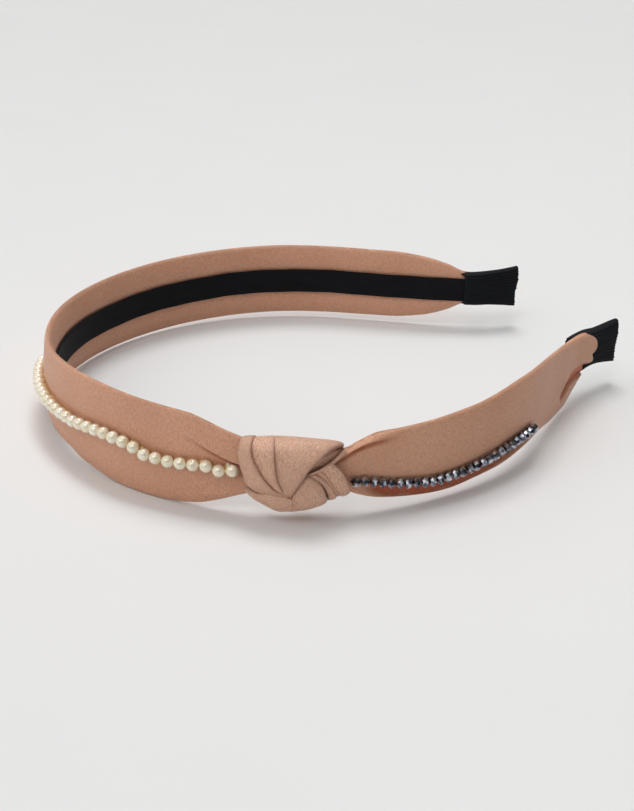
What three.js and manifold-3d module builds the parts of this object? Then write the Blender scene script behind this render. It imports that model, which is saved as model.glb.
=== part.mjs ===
// Knotted satin headband: a sprung hoop in a flat satin sleeve that is tied in one off-centre knot,
// with a row of pearls on one side of the knot and a strand of faceted beads on the other.
//
// Units are millimetres and +Z is up. The hoop lies on its edge: its plane is XY, +Y runs from the
// crown to the tips, and the knot is on the +X arm. A place on the band has three numbers: the
// distance along the hoop from the crown (positive on the knot arm), the distance outward from the
// middle of the core, and the height above the middle of the core.

import * as THREE from 'three';
import { mergeVertices } from 'three/addons/utils/BufferGeometryUtils.js';
import Module from 'manifold-3d';

const wasm = await Module();
wasm.setup();

// ---- Driving dimensions ----

// Half of the hoop line, from the crown to a tip: two arcs round the head, a straight, and a flare.
const CROWN_RADIUS = 62;
const CROWN_ANGLE = 45;
const SIDE_RADIUS = 67;
const SIDE_ANGLE = 82;
const TEMPLE_LENGTH = 25;
const FLARE_RADIUS = 60;
const FLARE_ANGLE = 26;

// Gap between pieces that touch, and the slit at the crown where the two halves of the hoop part.
const CLEARANCE = 0.3;
const CROWN_SLIT = 0.3;

const CORE_WIDTH = 7;
const CORE_THICKNESS = 1.2;
const CORE_CHAMFER = 0.25;

const LINING_WIDTH = 7;
const LINING_THICKNESS = 0.6;
const LINING_CHAMFER = 0.15;
const LINING_TUCK = 3;

// Satin tube: its width on each stretch, how far its soft face stands off the core, and its wall.
const SATIN_WALL = 0.4;
const SATIN_LOFT = 0.1;
const PLAIN_ARM_WIDTH = 21;
const PEARL_SIDE_WIDTH = 24;
const KNOT_ARM_WIDTH = 20;
const NECK_WIDTH = 10.4;
const KNOT_MOUTH_WIDTH = 15;
const TAPER_LENGTH = 20;
const CROWN_BLEND = 20;

const CAP_LENGTH = 15;
const CAP_SIDE_WALL = 1;
const CAP_FACE_WALL = 0.6;
const CAP_END_WALL = 0.9;
const CAP_FLARE = 0.7;
const TONGUE_LENGTH = 7;

// Knot: how far past the row of pearls it starts, how long it is, and how far it stands out and
// reaches above and below the middle of the core.
const PEARLS_TO_KNOT = 0.6;
const KNOT_LENGTH = 23.6;
const KNOT_STANDOFF = 8;
const KNOT_RISE = 8.6;
const KNOT_DROP = 10.2;
const KNOT_BACK = 1.5;

const PEARL_DIAMETER = 3;
const PEARL_BORE = 1;
const PEARL_GAP = 0.23;
const PEARLS_KNOT_SIDE = 19;
const PEARLS_PLAIN_SIDE = 11;
const PEARL_HEIGHT = -0.8;
const THREAD_DIAMETER = 0.4;
const THREAD_KNOT_DIAMETER = 0.9;
const THREAD_KNOT_RISE = 2.4;

const BEAD_DIAMETER = 2.4;
const BEAD_LENGTH = 1.9;
const BEAD_PITCH = 2.08;
const BEAD_COUNT = 27;
const BEAD_THREAD_DIAMETER = 0.6;
const BEAD_THREAD_END = 0.3;
const BEAD_START_HEIGHT = -3;
const BEAD_LOW_HEIGHT = -5.6;
const BEAD_END_HEIGHT = -3.4;

// Step between sections along the hoop, and the finer one where the sleeve narrows into the knot.
const SECTION_STEP = 8;
const KNOT_STEP = 2.5;

// ---- Derived sizes ----

const radians = THREE.MathUtils.degToRad;
const HOOP_STRETCHES = [
  { length: CROWN_RADIUS * radians(CROWN_ANGLE), curvature: 1 / CROWN_RADIUS },
  { length: SIDE_RADIUS * radians(SIDE_ANGLE), curvature: 1 / SIDE_RADIUS },
  { length: TEMPLE_LENGTH, curvature: 0 },
  { length: FLARE_RADIUS * radians(FLARE_ANGLE), curvature: -1 / FLARE_RADIUS },
];
const ARM_LENGTH = HOOP_STRETCHES.reduce((sum, stretch) => sum + stretch.length, 0);

const CORE_FACE = CORE_THICKNESS / 2;
const CORE_START = CROWN_SLIT / 2;
const CORE_END = ARM_LENGTH - CAP_END_WALL - CLEARANCE;

const SATIN_IN = CORE_FACE + CLEARANCE + SATIN_WALL;
const SATIN_OUT = SATIN_IN + SATIN_LOFT;

const CAP_START = ARM_LENGTH - CAP_LENGTH;
const CAP_WIDTH = CORE_WIDTH + 2 * (CLEARANCE + CAP_SIDE_WALL);
const CAP_FACE = CORE_FACE + CLEARANCE + CAP_FACE_WALL;
const SATIN_END = CAP_START - CLEARANCE;
const SATIN_END_WIDTH = CAP_WIDTH + 0.6;
const SATIN_END_OUT = CAP_FACE + CLEARANCE + SATIN_WALL;
const TAPER_START = SATIN_END - TAPER_LENGTH;

const LINING_TOP = SATIN_IN + CLEARANCE;
const LINING_FACE = LINING_TOP + LINING_THICKNESS;
const LINING_END = CAP_START + LINING_TUCK;

const PEARL_RADIUS = PEARL_DIAMETER / 2;
const PEARL_BORE_RADIUS = PEARL_BORE / 2;
const PEARL_HALF_LENGTH = Math.sqrt(PEARL_RADIUS ** 2 - PEARL_BORE_RADIUS ** 2);
const PEARL_PITCH = 2 * PEARL_HALF_LENGTH + PEARL_GAP;
const PEARL_OUT = SATIN_OUT + CLEARANCE + PEARL_RADIUS;

// The knot is tied where the row of pearls ends.
const KNOT_START = PEARL_PITCH * PEARLS_KNOT_SIDE + PEARLS_TO_KNOT;
const KNOT_END = KNOT_START + KNOT_LENGTH;
const KNOT_PLACE = (KNOT_START + KNOT_END) / 2;

const BEAD_OUT = SATIN_OUT + CLEARANCE + BEAD_DIAMETER / 2;
const BEAD_START = KNOT_END + CLEARANCE + BEAD_THREAD_END + BEAD_LENGTH / 2;
const BEAD_END = BEAD_START + BEAD_PITCH * (BEAD_COUNT - 1);

// ---- Finishes ----

const finish = (color, roughness, metalness = 0) =>
  new THREE.MeshStandardMaterial({ color, roughness, metalness });

const SATIN = finish(0xbd957e, 0.5);
const SATIN_KNOT = finish(0xba937c, 0.5);
const LINING = finish(0x121318, 0.95);
const CAP = finish(0x1b1e25, 0.7);
const CORE = finish(0x2a2a2c, 0.45);
const PEARL = finish(0xe8dcc0, 0.22);
const THREAD = finish(0xe9e2d0, 0.6);
const HEMATITE = finish(0x54565f, 0.2, 0.85);

// ---- The hoop line ----

// The point at a distance along the hoop, with its heading turned from +X.
function hoopLine(along) {
  let x = 0;
  let y = 0;
  let heading = 0;
  let left = Math.abs(along);
  HOOP_STRETCHES.forEach(({ length, curvature }, i) => {
    const isLast = i === HOOP_STRETCHES.length - 1;
    const step = isLast ? left : Math.min(left, length);
    const next = heading + step * curvature;
    if (curvature === 0) {
      x += step * Math.cos(heading);
      y += step * Math.sin(heading);
    } else {
      x += (Math.sin(next) - Math.sin(heading)) / curvature;
      y += (Math.cos(heading) - Math.cos(next)) / curvature;
    }
    heading = next;
    left -= step;
  });
  return { x, y, heading, side: along < 0 ? -1 : 1 };
}

function place(along, outward, height) {
  const { x, y, heading, side } = hoopLine(along);
  const across = x + outward * Math.sin(heading);
  return new THREE.Vector3(side * across, y - outward * Math.cos(heading), height);
}

function direction(along) {
  const { heading, side } = hoopLine(along);
  return new THREE.Vector3(Math.cos(heading), side * Math.sin(heading), 0);
}

// Distances from start to end with even steps, each no longer than the section step.
function stations(start, end, step = SECTION_STEP) {
  const count = Math.max(1, Math.ceil(Math.abs(end - start) / step));
  return Array.from({ length: count + 1 }, (_, i) => start + ((end - start) * i) / count);
}

// A value that eases from stop to stop; stops are [distance, value] in rising order.
function eased(stops, at) {
  if (at <= stops[0][0]) return stops[0][1];
  for (let i = 1; i < stops.length; i += 1) {
    const [before, from] = stops[i - 1];
    const [after, to] = stops[i];
    if (at <= after) return from + (to - from) * THREE.MathUtils.smoothstep(at, before, after);
  }
  return stops[stops.length - 1][1];
}

// ---- Closed bodies ----

// Closes rings of points into one body. A loop joins its last ring to its first, as a tube's wall
// does; otherwise the first and last rings are the body's two ends.
function bodyFromRings(rings, { loop = false } = {}) {
  const size = rings[0].length;
  const points = rings.flat();
  const index = [];
  const last = loop ? rings.length : rings.length - 1;
  for (let r = 0; r < last; r += 1) {
    const near = r * size;
    const far = ((r + 1) % rings.length) * size;
    for (let k = 0; k < size; k += 1) {
      const next = (k + 1) % size;
      index.push(near + k, near + next, far + next, near + k, far + next, far + k);
    }
  }
  if (!loop) {
    const end = (rings.length - 1) * size;
    for (let k = 1; k < size - 1; k += 1) {
      index.push(0, k + 1, k);
      index.push(end, end + k, end + k + 1);
    }
  }
  const geometry = new THREE.BufferGeometry().setFromPoints(points);
  geometry.setIndex(index);
  return facingOut(geometry);
}

function signedVolume(geometry) {
  const position = geometry.getAttribute('position');
  const [a, b, c] = [new THREE.Vector3(), new THREE.Vector3(), new THREE.Vector3()];
  let sum = 0;
  for (let i = 0; i < geometry.index.count; i += 3) {
    a.fromBufferAttribute(position, geometry.index.getX(i));
    b.fromBufferAttribute(position, geometry.index.getX(i + 1));
    c.fromBufferAttribute(position, geometry.index.getX(i + 2));
    sum += a.dot(b.cross(c));
  }
  return sum / 6;
}

function facingOut(geometry) {
  if (signedVolume(geometry) < 0) {
    const index = Array.from(geometry.index.array).reverse();
    geometry.setIndex(index);
  }
  return geometry;
}

function merged(geometry) {
  const bare = geometry.clone();
  bare.deleteAttribute('normal');
  bare.deleteAttribute('uv');
  return mergeVertices(bare, 1e-4);
}

function solid(geometry) {
  const closed = merged(geometry);
  return new wasm.Manifold(new wasm.Mesh({
    numProp: 3,
    vertProperties: new Float32Array(closed.getAttribute('position').array),
    triVerts: new Uint32Array(closed.index.array),
  }));
}

function geometryOf(manifold) {
  const mesh = manifold.getMesh();
  const geometry = new THREE.BufferGeometry();
  geometry.setAttribute('position', new THREE.BufferAttribute(mesh.vertProperties, 3));
  geometry.setIndex(new THREE.BufferAttribute(mesh.triVerts, 1));
  return geometry;
}

// ---- Sections ----

// A quarter of the satin tube's section, as shares of its depth and of its half width.
const SOFT_QUARTER = [[1, 0.3], [0.9, 0.75], [0.6, 1]];
const mirrorAcross = (points) => points.map(([depth, rise]) => [-depth, rise]).reverse();
const SOFT_TOP = [...SOFT_QUARTER, ...mirrorAcross(SOFT_QUARTER)];
const SOFT_SECTION = [...SOFT_TOP, ...SOFT_TOP.map(([depth, rise]) => [-depth, -rise])];

// A soft flat section: how far it reaches out, in, up and down from the middle of the core.
function softRing(along, { out, back, up, down }) {
  return SOFT_SECTION.map(([depth, rise]) =>
    place(along, depth > 0 ? depth * out : depth * back, rise > 0 ? rise * up : rise * down));
}

// A strip between two faces, with its corners cut off.
function stripRing(along, { out, back, halfWidth, chamfer }) {
  return [
    [out, -halfWidth + chamfer],
    [out, halfWidth - chamfer],
    [out - chamfer, halfWidth],
    [back + chamfer, halfWidth],
    [back, halfWidth - chamfer],
    [back, -halfWidth + chamfer],
    [back + chamfer, -halfWidth],
    [out - chamfer, -halfWidth],
  ].map(([outward, height]) => place(along, outward, height));
}

function strip(start, end, section) {
  return bodyFromRings(stations(start, end).map((along) => stripRing(along, section)));
}

// ---- Core and lining ----

function makeCore(side) {
  return strip(side * CORE_START, side * CORE_END, {
    out: CORE_FACE,
    back: -CORE_FACE,
    halfWidth: CORE_WIDTH / 2,
    chamfer: CORE_CHAMFER,
  });
}

function makeLining(side) {
  return strip(side * CORE_START, side * LINING_END, {
    out: -LINING_TOP,
    back: -LINING_FACE,
    halfWidth: LINING_WIDTH / 2,
    chamfer: LINING_CHAMFER,
  });
}

// ---- Satin sleeve ----

// Width of the satin along each stretch of the hoop.
const CROWN_MIDDLE_WIDTH = (PLAIN_ARM_WIDTH + PEARL_SIDE_WIDTH) / 2;
const TUCK = KNOT_LENGTH / 3;
const WIDTH_PLAIN = [
  [0, CROWN_MIDDLE_WIDTH],
  [CROWN_BLEND, PLAIN_ARM_WIDTH],
  [TAPER_START, PLAIN_ARM_WIDTH],
  [SATIN_END, SATIN_END_WIDTH],
];
const WIDTH_KNOT_SIDE = [
  [0, CROWN_MIDDLE_WIDTH],
  [CROWN_BLEND, PEARL_SIDE_WIDTH],
  [KNOT_START - TUCK * 2, PEARL_SIDE_WIDTH],
  [KNOT_START, KNOT_MOUTH_WIDTH],
  [KNOT_START + TUCK, NECK_WIDTH],
  [KNOT_END, NECK_WIDTH],
  [KNOT_END + TUCK * 2.5, KNOT_ARM_WIDTH],
  [TAPER_START, KNOT_ARM_WIDTH],
  [SATIN_END, SATIN_END_WIDTH],
];

function satinHalfWidth(along) {
  return eased(along < 0 ? WIDTH_PLAIN : WIDTH_KNOT_SIDE, Math.abs(along)) / 2;
}

// The outer face rises near the tip, to pass over the cap.
function satinOut(along) {
  return eased([[TAPER_START, SATIN_OUT], [SATIN_END, SATIN_END_OUT]], Math.abs(along));
}

function satinRing(along, inset) {
  const half = satinHalfWidth(along) - inset;
  return softRing(along, {
    out: satinOut(along) - inset,
    back: SATIN_IN - inset,
    up: half,
    down: half,
  });
}

function sleeveStations(start, end) {
  if (end < 0) return stations(start, end);
  const [into, outOf] = [KNOT_START - TUCK, KNOT_END + TUCK];
  return start < into
    ? [...stations(start, into), ...stations(into, end, KNOT_STEP).slice(1)]
    : [...stations(start, outOf, KNOT_STEP), ...stations(outOf, end).slice(1)];
}

function satinTube(start, end) {
  const steps = sleeveStations(start, end);
  const outer = steps.map((along) => satinRing(along, 0));
  const inner = steps.map((along) => satinRing(along, SATIN_WALL));
  return bodyFromRings([...outer, ...inner.reverse()], { loop: true });
}

// The end of the satin's outer face: a round-ended tongue that lies on the cap.
function satinTongue(side) {
  const root = SATIN_END - SATIN_WALL * 2;
  const tip = SATIN_END + TONGUE_LENGTH;
  const round = SATIN_END_WIDTH / 2;
  const halfWidth = (along) => {
    const into = Math.max(0, along - (tip - round)) / round;
    return (round - SATIN_WALL) * Math.max(0.3, Math.sqrt(1 - Math.min(1, into) ** 2));
  };
  const rings = [...stations(root, tip - round, 2.5), ...stations(tip - round, tip, 1.2).slice(1)];
  return bodyFromRings(rings.map((along) => stripRing(side * along, {
    out: SATIN_END_OUT,
    back: SATIN_END_OUT - SATIN_WALL,
    halfWidth: halfWidth(along),
    chamfer: SATIN_WALL / 4,
  })));
}

function makeSleeve(start, end) {
  const side = Math.sign(end);
  const tube = solid(satinTube(start, end));
  return geometryOf(tube.add(solid(satinTongue(side))));
}

// ---- Tip caps ----

// A ribbed pouch over the core's tip. Its mouth is deeper, because the lining ends inside it.
function makeCap(side) {
  const mouthBack = LINING_FACE + CLEARANCE;
  const pocketStep = LINING_END + CLEARANCE;
  const coreFit = CORE_FACE + CLEARANCE;
  const halfWidth = (along) => eased(
    [[CAP_START, CAP_WIDTH / 2], [ARM_LENGTH, CAP_WIDTH / 2 + CAP_FLARE]], along);
  const back = (along) => eased(
    [[pocketStep + CAP_FACE_WALL, mouthBack + CAP_FACE_WALL], [pocketStep + LINING_TUCK, CAP_FACE]],
    along);
  const outer = stations(ARM_LENGTH, CAP_START, 2).map((along) => stripRing(side * along, {
    out: CAP_FACE,
    back: -back(along),
    halfWidth: halfWidth(along),
    chamfer: CAP_FACE_WALL / 2,
  }));
  const pocket = (along, depth) => stripRing(side * along, {
    out: coreFit,
    back: -depth,
    halfWidth: CORE_WIDTH / 2 + CLEARANCE,
    chamfer: LINING_CHAMFER,
  });
  const mouth = stations(CAP_START, pocketStep, 2).map((along) => pocket(along, mouthBack));
  const deep = stations(pocketStep, CORE_END + CLEARANCE, 3).map((along) => pocket(along, coreFit));
  return bodyFromRings([...outer, ...mouth, ...deep]);
}

// ---- Knot ----

// The whole knot as one bulge around the band, hollow where the sleeve passes through it.
function knotBulge() {
  const swell = (along, edge, middle) => eased([
    [KNOT_START, edge],
    [KNOT_PLACE - KNOT_LENGTH / 6, middle],
    [KNOT_PLACE + KNOT_LENGTH / 8, middle],
    [KNOT_END, edge],
  ], along);
  const rings = stations(KNOT_START, KNOT_END, 2).map((along) => softRing(along, {
    out: swell(along, KNOT_STANDOFF * 0.4, KNOT_STANDOFF),
    back: KNOT_BACK,
    up: eased([[KNOT_START, KNOT_RISE], [KNOT_PLACE, KNOT_RISE], [KNOT_END, KNOT_RISE * 0.75]], along),
    down: swell(along, KNOT_DROP * 0.7, KNOT_DROP),
  }));
  return solid(bodyFromRings(rings));
}

// The room that the sleeve and the lining need inside the knot.
function knotPassage() {
  const reach = KNOT_STEP;
  const rings = stations(KNOT_START - reach, KNOT_END + reach, KNOT_STEP / 2).map((along) => softRing(along, {
    out: satinOut(along) + CLEARANCE,
    back: KNOT_BACK + reach,
    up: satinHalfWidth(along) + CLEARANCE,
    down: satinHalfWidth(along) + CLEARANCE,
  }));
  return solid(bodyFromRings(rings));
}

// Folds meet where the pleats run together, low on the front. The places are shares of half the
// knot's length and of its drop, and each fold's region keeps half the clearance from that line.
const FOLD_MEET = [-0.02, -0.62];
const FOLD_LEFT = [-1.3, -0.6];
const FOLD_UPPER_RIGHT = [1.25, 0.62];
const FOLD_BOTTOM = [0.1, -1.3];

function foldPrism(corners) {
  const half = KNOT_LENGTH / 2;
  const outline = corners.map(([x, z]) => new THREE.Vector2(x * half, z * KNOT_DROP));
  const middle = outline.reduce((sum, p) => sum.add(p), new THREE.Vector2()).divideScalar(outline.length);
  const depth = (KNOT_STANDOFF + KNOT_BACK) * 3;
  const shape = new THREE.Shape(outline.map((p) => {
    const inward = middle.clone().sub(p).setLength(CLEARANCE);
    return p.clone().add(inward);
  }));
  const prism = new THREE.ExtrudeGeometry(shape, { depth, bevelEnabled: false });
  const outward = place(KNOT_PLACE, 1, 0).sub(place(KNOT_PLACE, 0, 0));
  const frame = new THREE.Matrix4().makeBasis(
    direction(KNOT_PLACE), new THREE.Vector3(0, 0, 1), outward);
  frame.setPosition(place(KNOT_PLACE, -depth / 2, 0));
  prism.applyMatrix4(frame);
  return solid(facingOut(merged(prism)));
}

const FAR_TOP_LEFT = [-1.6, 1.6];
const FAR_TOP_RIGHT = [1.6, 1.6];
const FAR_BOTTOM_LEFT = [-1.6, -1.6];
const FAR_BOTTOM_RIGHT = [1.6, -1.6];
const KNOT_FOLDS = {
  knot_over_wrap: [FOLD_MEET, FOLD_UPPER_RIGHT, FAR_TOP_RIGHT, FAR_TOP_LEFT, FOLD_LEFT],
  knot_under_roll: [FOLD_MEET, FOLD_LEFT, FAR_BOTTOM_LEFT, FOLD_BOTTOM],
  knot_side_fan: [FOLD_MEET, FOLD_BOTTOM, FAR_BOTTOM_RIGHT, FOLD_UPPER_RIGHT],
};

// ---- Pearls ----

function makePearl() {
  const edge = Math.asin(PEARL_HALF_LENGTH / PEARL_RADIUS);
  const arc = stations(-edge, edge, edge / 3).map((angle) =>
    new THREE.Vector2(PEARL_RADIUS * Math.cos(angle), PEARL_RADIUS * Math.sin(angle)));
  return merged(new THREE.LatheGeometry([...arc, arc[0].clone()], 10));
}

// A path at a fixed standoff from the hoop line, whose height may change on the way.
class BandPath extends THREE.Curve {
  constructor(start, end, outward, height) {
    super();
    Object.assign(this, { start, end, outward, height });
  }

  getPoint(t, target = new THREE.Vector3()) {
    const along = this.start + (this.end - this.start) * t;
    return target.copy(place(along, this.outward, this.height(along)));
  }
}

function makeThread(path, diameter) {
  const shape = new THREE.Shape().absarc(0, 0, diameter / 2, 0, Math.PI * 2);
  const steps = Math.ceil(Math.abs(path.end - path.start) / (BEAD_PITCH * 1.5));
  return facingOut(merged(new THREE.ExtrudeGeometry(shape, {
    steps,
    curveSegments: 3,
    bevelEnabled: false,
    extrudePath: path,
  })));
}

function makePearlThread(side, count) {
  const end = PEARL_PITCH * count;
  return makeThread(new BandPath(side * CORE_START, side * end, PEARL_OUT, () => PEARL_HEIGHT),
    THREAD_DIAMETER);
}

// ---- Faceted beads ----

function beadHeight(along) {
  return eased([
    [BEAD_START, BEAD_START_HEIGHT],
    [BEAD_START + (BEAD_END - BEAD_START) / 2, BEAD_LOW_HEIGHT],
    [BEAD_END, BEAD_END_HEIGHT],
  ], along);
}

function makeBead() {
  const half = BEAD_LENGTH / 2;
  const radius = BEAD_DIAMETER / 2;
  const outline = [[0, -half], [radius * 0.6, -half], [radius, -half * 0.25]];
  const profile = [...outline, ...outline.map(([r, h]) => [r, -h]).reverse()];
  return new THREE.LatheGeometry(profile.map(([r, h]) => new THREE.Vector2(r, h)), 6);
}

function alongBand(path, along) {
  const t = (along - path.start) / (path.end - path.start);
  const turn = new THREE.Quaternion();
  turn.setFromUnitVectors(new THREE.Vector3(0, 1, 0), path.getTangent(t));
  return { position: path.getPoint(t), turn };
}

function makeBeadStrand() {
  const tail = BEAD_LENGTH / 2 + BEAD_THREAD_END;
  const path = new BandPath(BEAD_START - tail, BEAD_END + tail, BEAD_OUT, beadHeight);
  let strand = solid(makeThread(path, BEAD_THREAD_DIAMETER));
  for (let i = 0; i < BEAD_COUNT; i += 1) {
    const { position, turn } = alongBand(path, BEAD_START + i * BEAD_PITCH);
    const bead = makeBead().applyMatrix4(
      new THREE.Matrix4().compose(position, turn, new THREE.Vector3(1, 1, 1)));
    strand = strand.add(solid(facingOut(merged(bead))));
  }
  return geometryOf(strand);
}

// ---- Assembly ----

const band = new THREE.Group();

function addPiece(name, geometry, material) {
  const mesh = new THREE.Mesh(geometry, material.clone());
  mesh.name = name;
  band.add(mesh);
  return mesh;
}

const KNOT_SIDE = 1;
const PLAIN_SIDE = -1;

addPiece('hoop_core_knot_side', makeCore(KNOT_SIDE), CORE);
addPiece('hoop_core_plain_side', makeCore(PLAIN_SIDE), CORE);
addPiece('lining_ribbon_knot_side', makeLining(KNOT_SIDE), LINING);
addPiece('lining_ribbon_plain_side', makeLining(PLAIN_SIDE), LINING);

addPiece('sleeve_crown_to_knot', satinTube(CORE_START, KNOT_PLACE - CLEARANCE / 2), SATIN);
addPiece('sleeve_knot_arm', makeSleeve(KNOT_PLACE + CLEARANCE / 2, SATIN_END), SATIN);
addPiece('sleeve_plain_arm', makeSleeve(-CORE_START, -SATIN_END), SATIN);

const hollowKnot = knotBulge().subtract(knotPassage());
for (const [name, region] of Object.entries(KNOT_FOLDS)) {
  addPiece(name, geometryOf(hollowKnot.intersect(foldPrism(region))), SATIN_KNOT);
}

addPiece('tip_cap_knot_arm', makeCap(KNOT_SIDE), CAP);
addPiece('tip_cap_plain_arm', makeCap(PLAIN_SIDE), CAP);

addPiece('pearl_thread_knot_side', makePearlThread(KNOT_SIDE, PEARLS_KNOT_SIDE), THREAD);
addPiece('pearl_thread_plain_side', makePearlThread(PLAIN_SIDE, PEARLS_PLAIN_SIDE), THREAD);

// Pearls are numbered from the knot round the crown. The crown slit falls between two of them.
const pearlShape = makePearl();
for (let i = 0; i < PEARLS_KNOT_SIDE + PEARLS_PLAIN_SIDE; i += 1) {
  const along = (PEARLS_KNOT_SIDE - 0.5 - i) * PEARL_PITCH;
  const pearl = addPiece(`pearl_${String(i + 1).padStart(2, '0')}`, pearlShape, PEARL);
  pearl.position.copy(place(along, PEARL_OUT, PEARL_HEIGHT));
  pearl.quaternion.setFromUnitVectors(new THREE.Vector3(0, 1, 0), direction(along));
}

const threadKnotPlace = PEARL_PITCH * (PEARLS_KNOT_SIDE - 1);
const threadKnotRadius = THREAD_KNOT_DIAMETER / 2;
const threadKnot = addPiece(
  'pearl_thread_end_knot', merged(new THREE.SphereGeometry(threadKnotRadius, 8, 6)), THREAD);
threadKnot.position.copy(place(
  threadKnotPlace, SATIN_OUT + CLEARANCE + threadKnotRadius, PEARL_HEIGHT + THREAD_KNOT_RISE));

addPiece('hematite_strand', makeBeadStrand(), HEMATITE);

// The origin is under the middle of the whole band, on the surface that it lies on.
band.updateMatrixWorld(true);
const extent = new THREE.Box3().setFromObject(band, true);
const middle = extent.getCenter(new THREE.Vector3());
band.position.set(-middle.x, -middle.y, -extent.min.z);

const group = new THREE.Group();
group.add(band);

export default group;
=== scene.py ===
"""Looks of the knotted satin headband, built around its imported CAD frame.

Sizes are millimetres until a mesh is made, and metres after that. A place on the band has three
numbers: along, the distance along the hoop from the crown (positive on the knot arm); out, the
distance outward from the middle of the core; and up, the height above the middle of the core.
"""

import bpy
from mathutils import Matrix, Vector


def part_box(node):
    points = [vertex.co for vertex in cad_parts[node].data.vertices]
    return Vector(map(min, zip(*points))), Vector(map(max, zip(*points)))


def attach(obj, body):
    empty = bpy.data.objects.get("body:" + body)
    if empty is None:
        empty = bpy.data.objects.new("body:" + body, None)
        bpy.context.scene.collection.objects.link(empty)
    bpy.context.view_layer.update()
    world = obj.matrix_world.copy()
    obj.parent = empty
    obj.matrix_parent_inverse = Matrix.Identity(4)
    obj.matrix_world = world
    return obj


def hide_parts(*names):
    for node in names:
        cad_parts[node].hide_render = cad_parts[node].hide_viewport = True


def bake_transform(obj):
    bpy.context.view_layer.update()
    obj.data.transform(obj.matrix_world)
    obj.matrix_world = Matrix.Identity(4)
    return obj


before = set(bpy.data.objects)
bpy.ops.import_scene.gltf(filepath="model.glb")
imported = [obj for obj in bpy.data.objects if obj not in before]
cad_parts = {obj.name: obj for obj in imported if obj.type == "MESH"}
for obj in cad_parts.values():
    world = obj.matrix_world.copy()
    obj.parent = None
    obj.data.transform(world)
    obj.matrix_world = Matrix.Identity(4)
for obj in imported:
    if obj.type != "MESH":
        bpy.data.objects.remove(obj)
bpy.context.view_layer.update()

import logging
import math
from abc import ABC, abstractmethod
from dataclasses import dataclass, field
from enum import Enum
from typing import Any, Callable, Dict, List, Optional, Sequence, Tuple

import bmesh
import bpy
import numpy as np
from mathutils import Matrix, Vector

LOG = logging.getLogger("headband")
MM = 0.001
TINY = 1e-9
Stops = Sequence[Tuple[float, float]]
Place = Tuple[float, float, float]
Colour = Tuple[float, float, float, float]
Array = np.ndarray


class Body(Enum):
    """The two CAD bodies, which the crown's hinge joins."""

    KNOT_ARM = "knot_arm"
    PLAIN_ARM = "plain_arm"


class Slot(Enum):
    """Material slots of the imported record."""

    CORE = "spring_core"
    LINING = "velvet_lining"
    SATIN = "satin"
    KNOT = "knot_satin"
    CAP = "ribbed_elastic"
    PEARL = "pearl"
    THREAD = "thread"
    HEMATITE = "hematite"


# ---------------------------------------------------------------------------------------------
# The hoop line and curves through chosen stops
# ---------------------------------------------------------------------------------------------


def box_mm(node: str) -> Tuple[Array, Array]:
    """Gives a CAD node's box in millimetres.

    Args:
        node: The node's name.

    Returns:
        Its lowest and its highest corner.
    """
    low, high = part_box(node)
    return np.array(low) / MM, np.array(high) / MM


def cubic(t: Array, step: Array, ends: Tuple[Array, Array], slopes: Tuple[Array, Array]) -> Array:
    """Curves from one value to the next with a given slope at each.

    Args:
        t: Shares of the way, from 0 to 1.
        step: Distance between the two values' places.
        ends: The two values.
        slopes: The slopes at them.

    Returns:
        The value at each share.
    """
    return (
        (1 + 2 * t) * (1 - t) ** 2 * ends[0]
        + t * (1 - t) ** 2 * step * slopes[0]
        + t * t * (3 - 2 * t) * ends[1]
        + t * t * (t - 1) * step * slopes[1]
    )


def smooth(at: Array, stops: Stops) -> Array:
    """Follows stops with a smooth curve that doesn't overshoot them.

    Args:
        at: Where the value is wanted.
        stops: Pairs of place and value, in rising order.

    Returns:
        The value at each place; beyond the stops it stays level.
    """
    x = np.array([stop[0] for stop in stops], float)
    y = np.array([stop[1] for stop in stops], float)
    at = np.clip(np.asarray(at, float), x[0], x[-1])
    if len(x) == 2:
        slopes = np.full(2, (y[1] - y[0]) / (x[1] - x[0]))
    else:
        steps, rises = np.diff(x), np.diff(y) / np.diff(x)
        slopes = np.zeros(len(x))
        same = rises[:-1] * rises[1:] > 0
        before, after = 2 * steps[1:] + steps[:-1], steps[1:] + 2 * steps[:-1]
        safe = np.where(same, rises[:-1], 1), np.where(same, rises[1:], 1)
        slopes[1:-1] = np.where(same, (before + after) / (before / safe[0] + after / safe[1]), 0)
        slopes[0], slopes[-1] = rises[0], rises[-1]
    i = np.clip(np.searchsorted(x, at, side="right") - 1, 0, len(x) - 2)
    step = x[i + 1] - x[i]
    t = (at - x[i]) / step
    return cubic(t, step, (y[i], y[i + 1]), (slopes[i], slopes[i + 1]))


def ramp(at: Array, start: float, end: float) -> Array:
    """Eases from 0 at start to 1 at end."""
    t = np.clip((np.asarray(at, float) - start) / (end - start), 0, 1)
    return t * t * (3 - 2 * t)


def hump(at: Array, middle: Array, half: float) -> Array:
    """Rises to 1 at its middle, and is 0 beyond its half width."""
    t = np.clip(np.abs(np.asarray(at, float) - middle) / half, 0, 1)
    return (1 - t * t) ** 2


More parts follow.
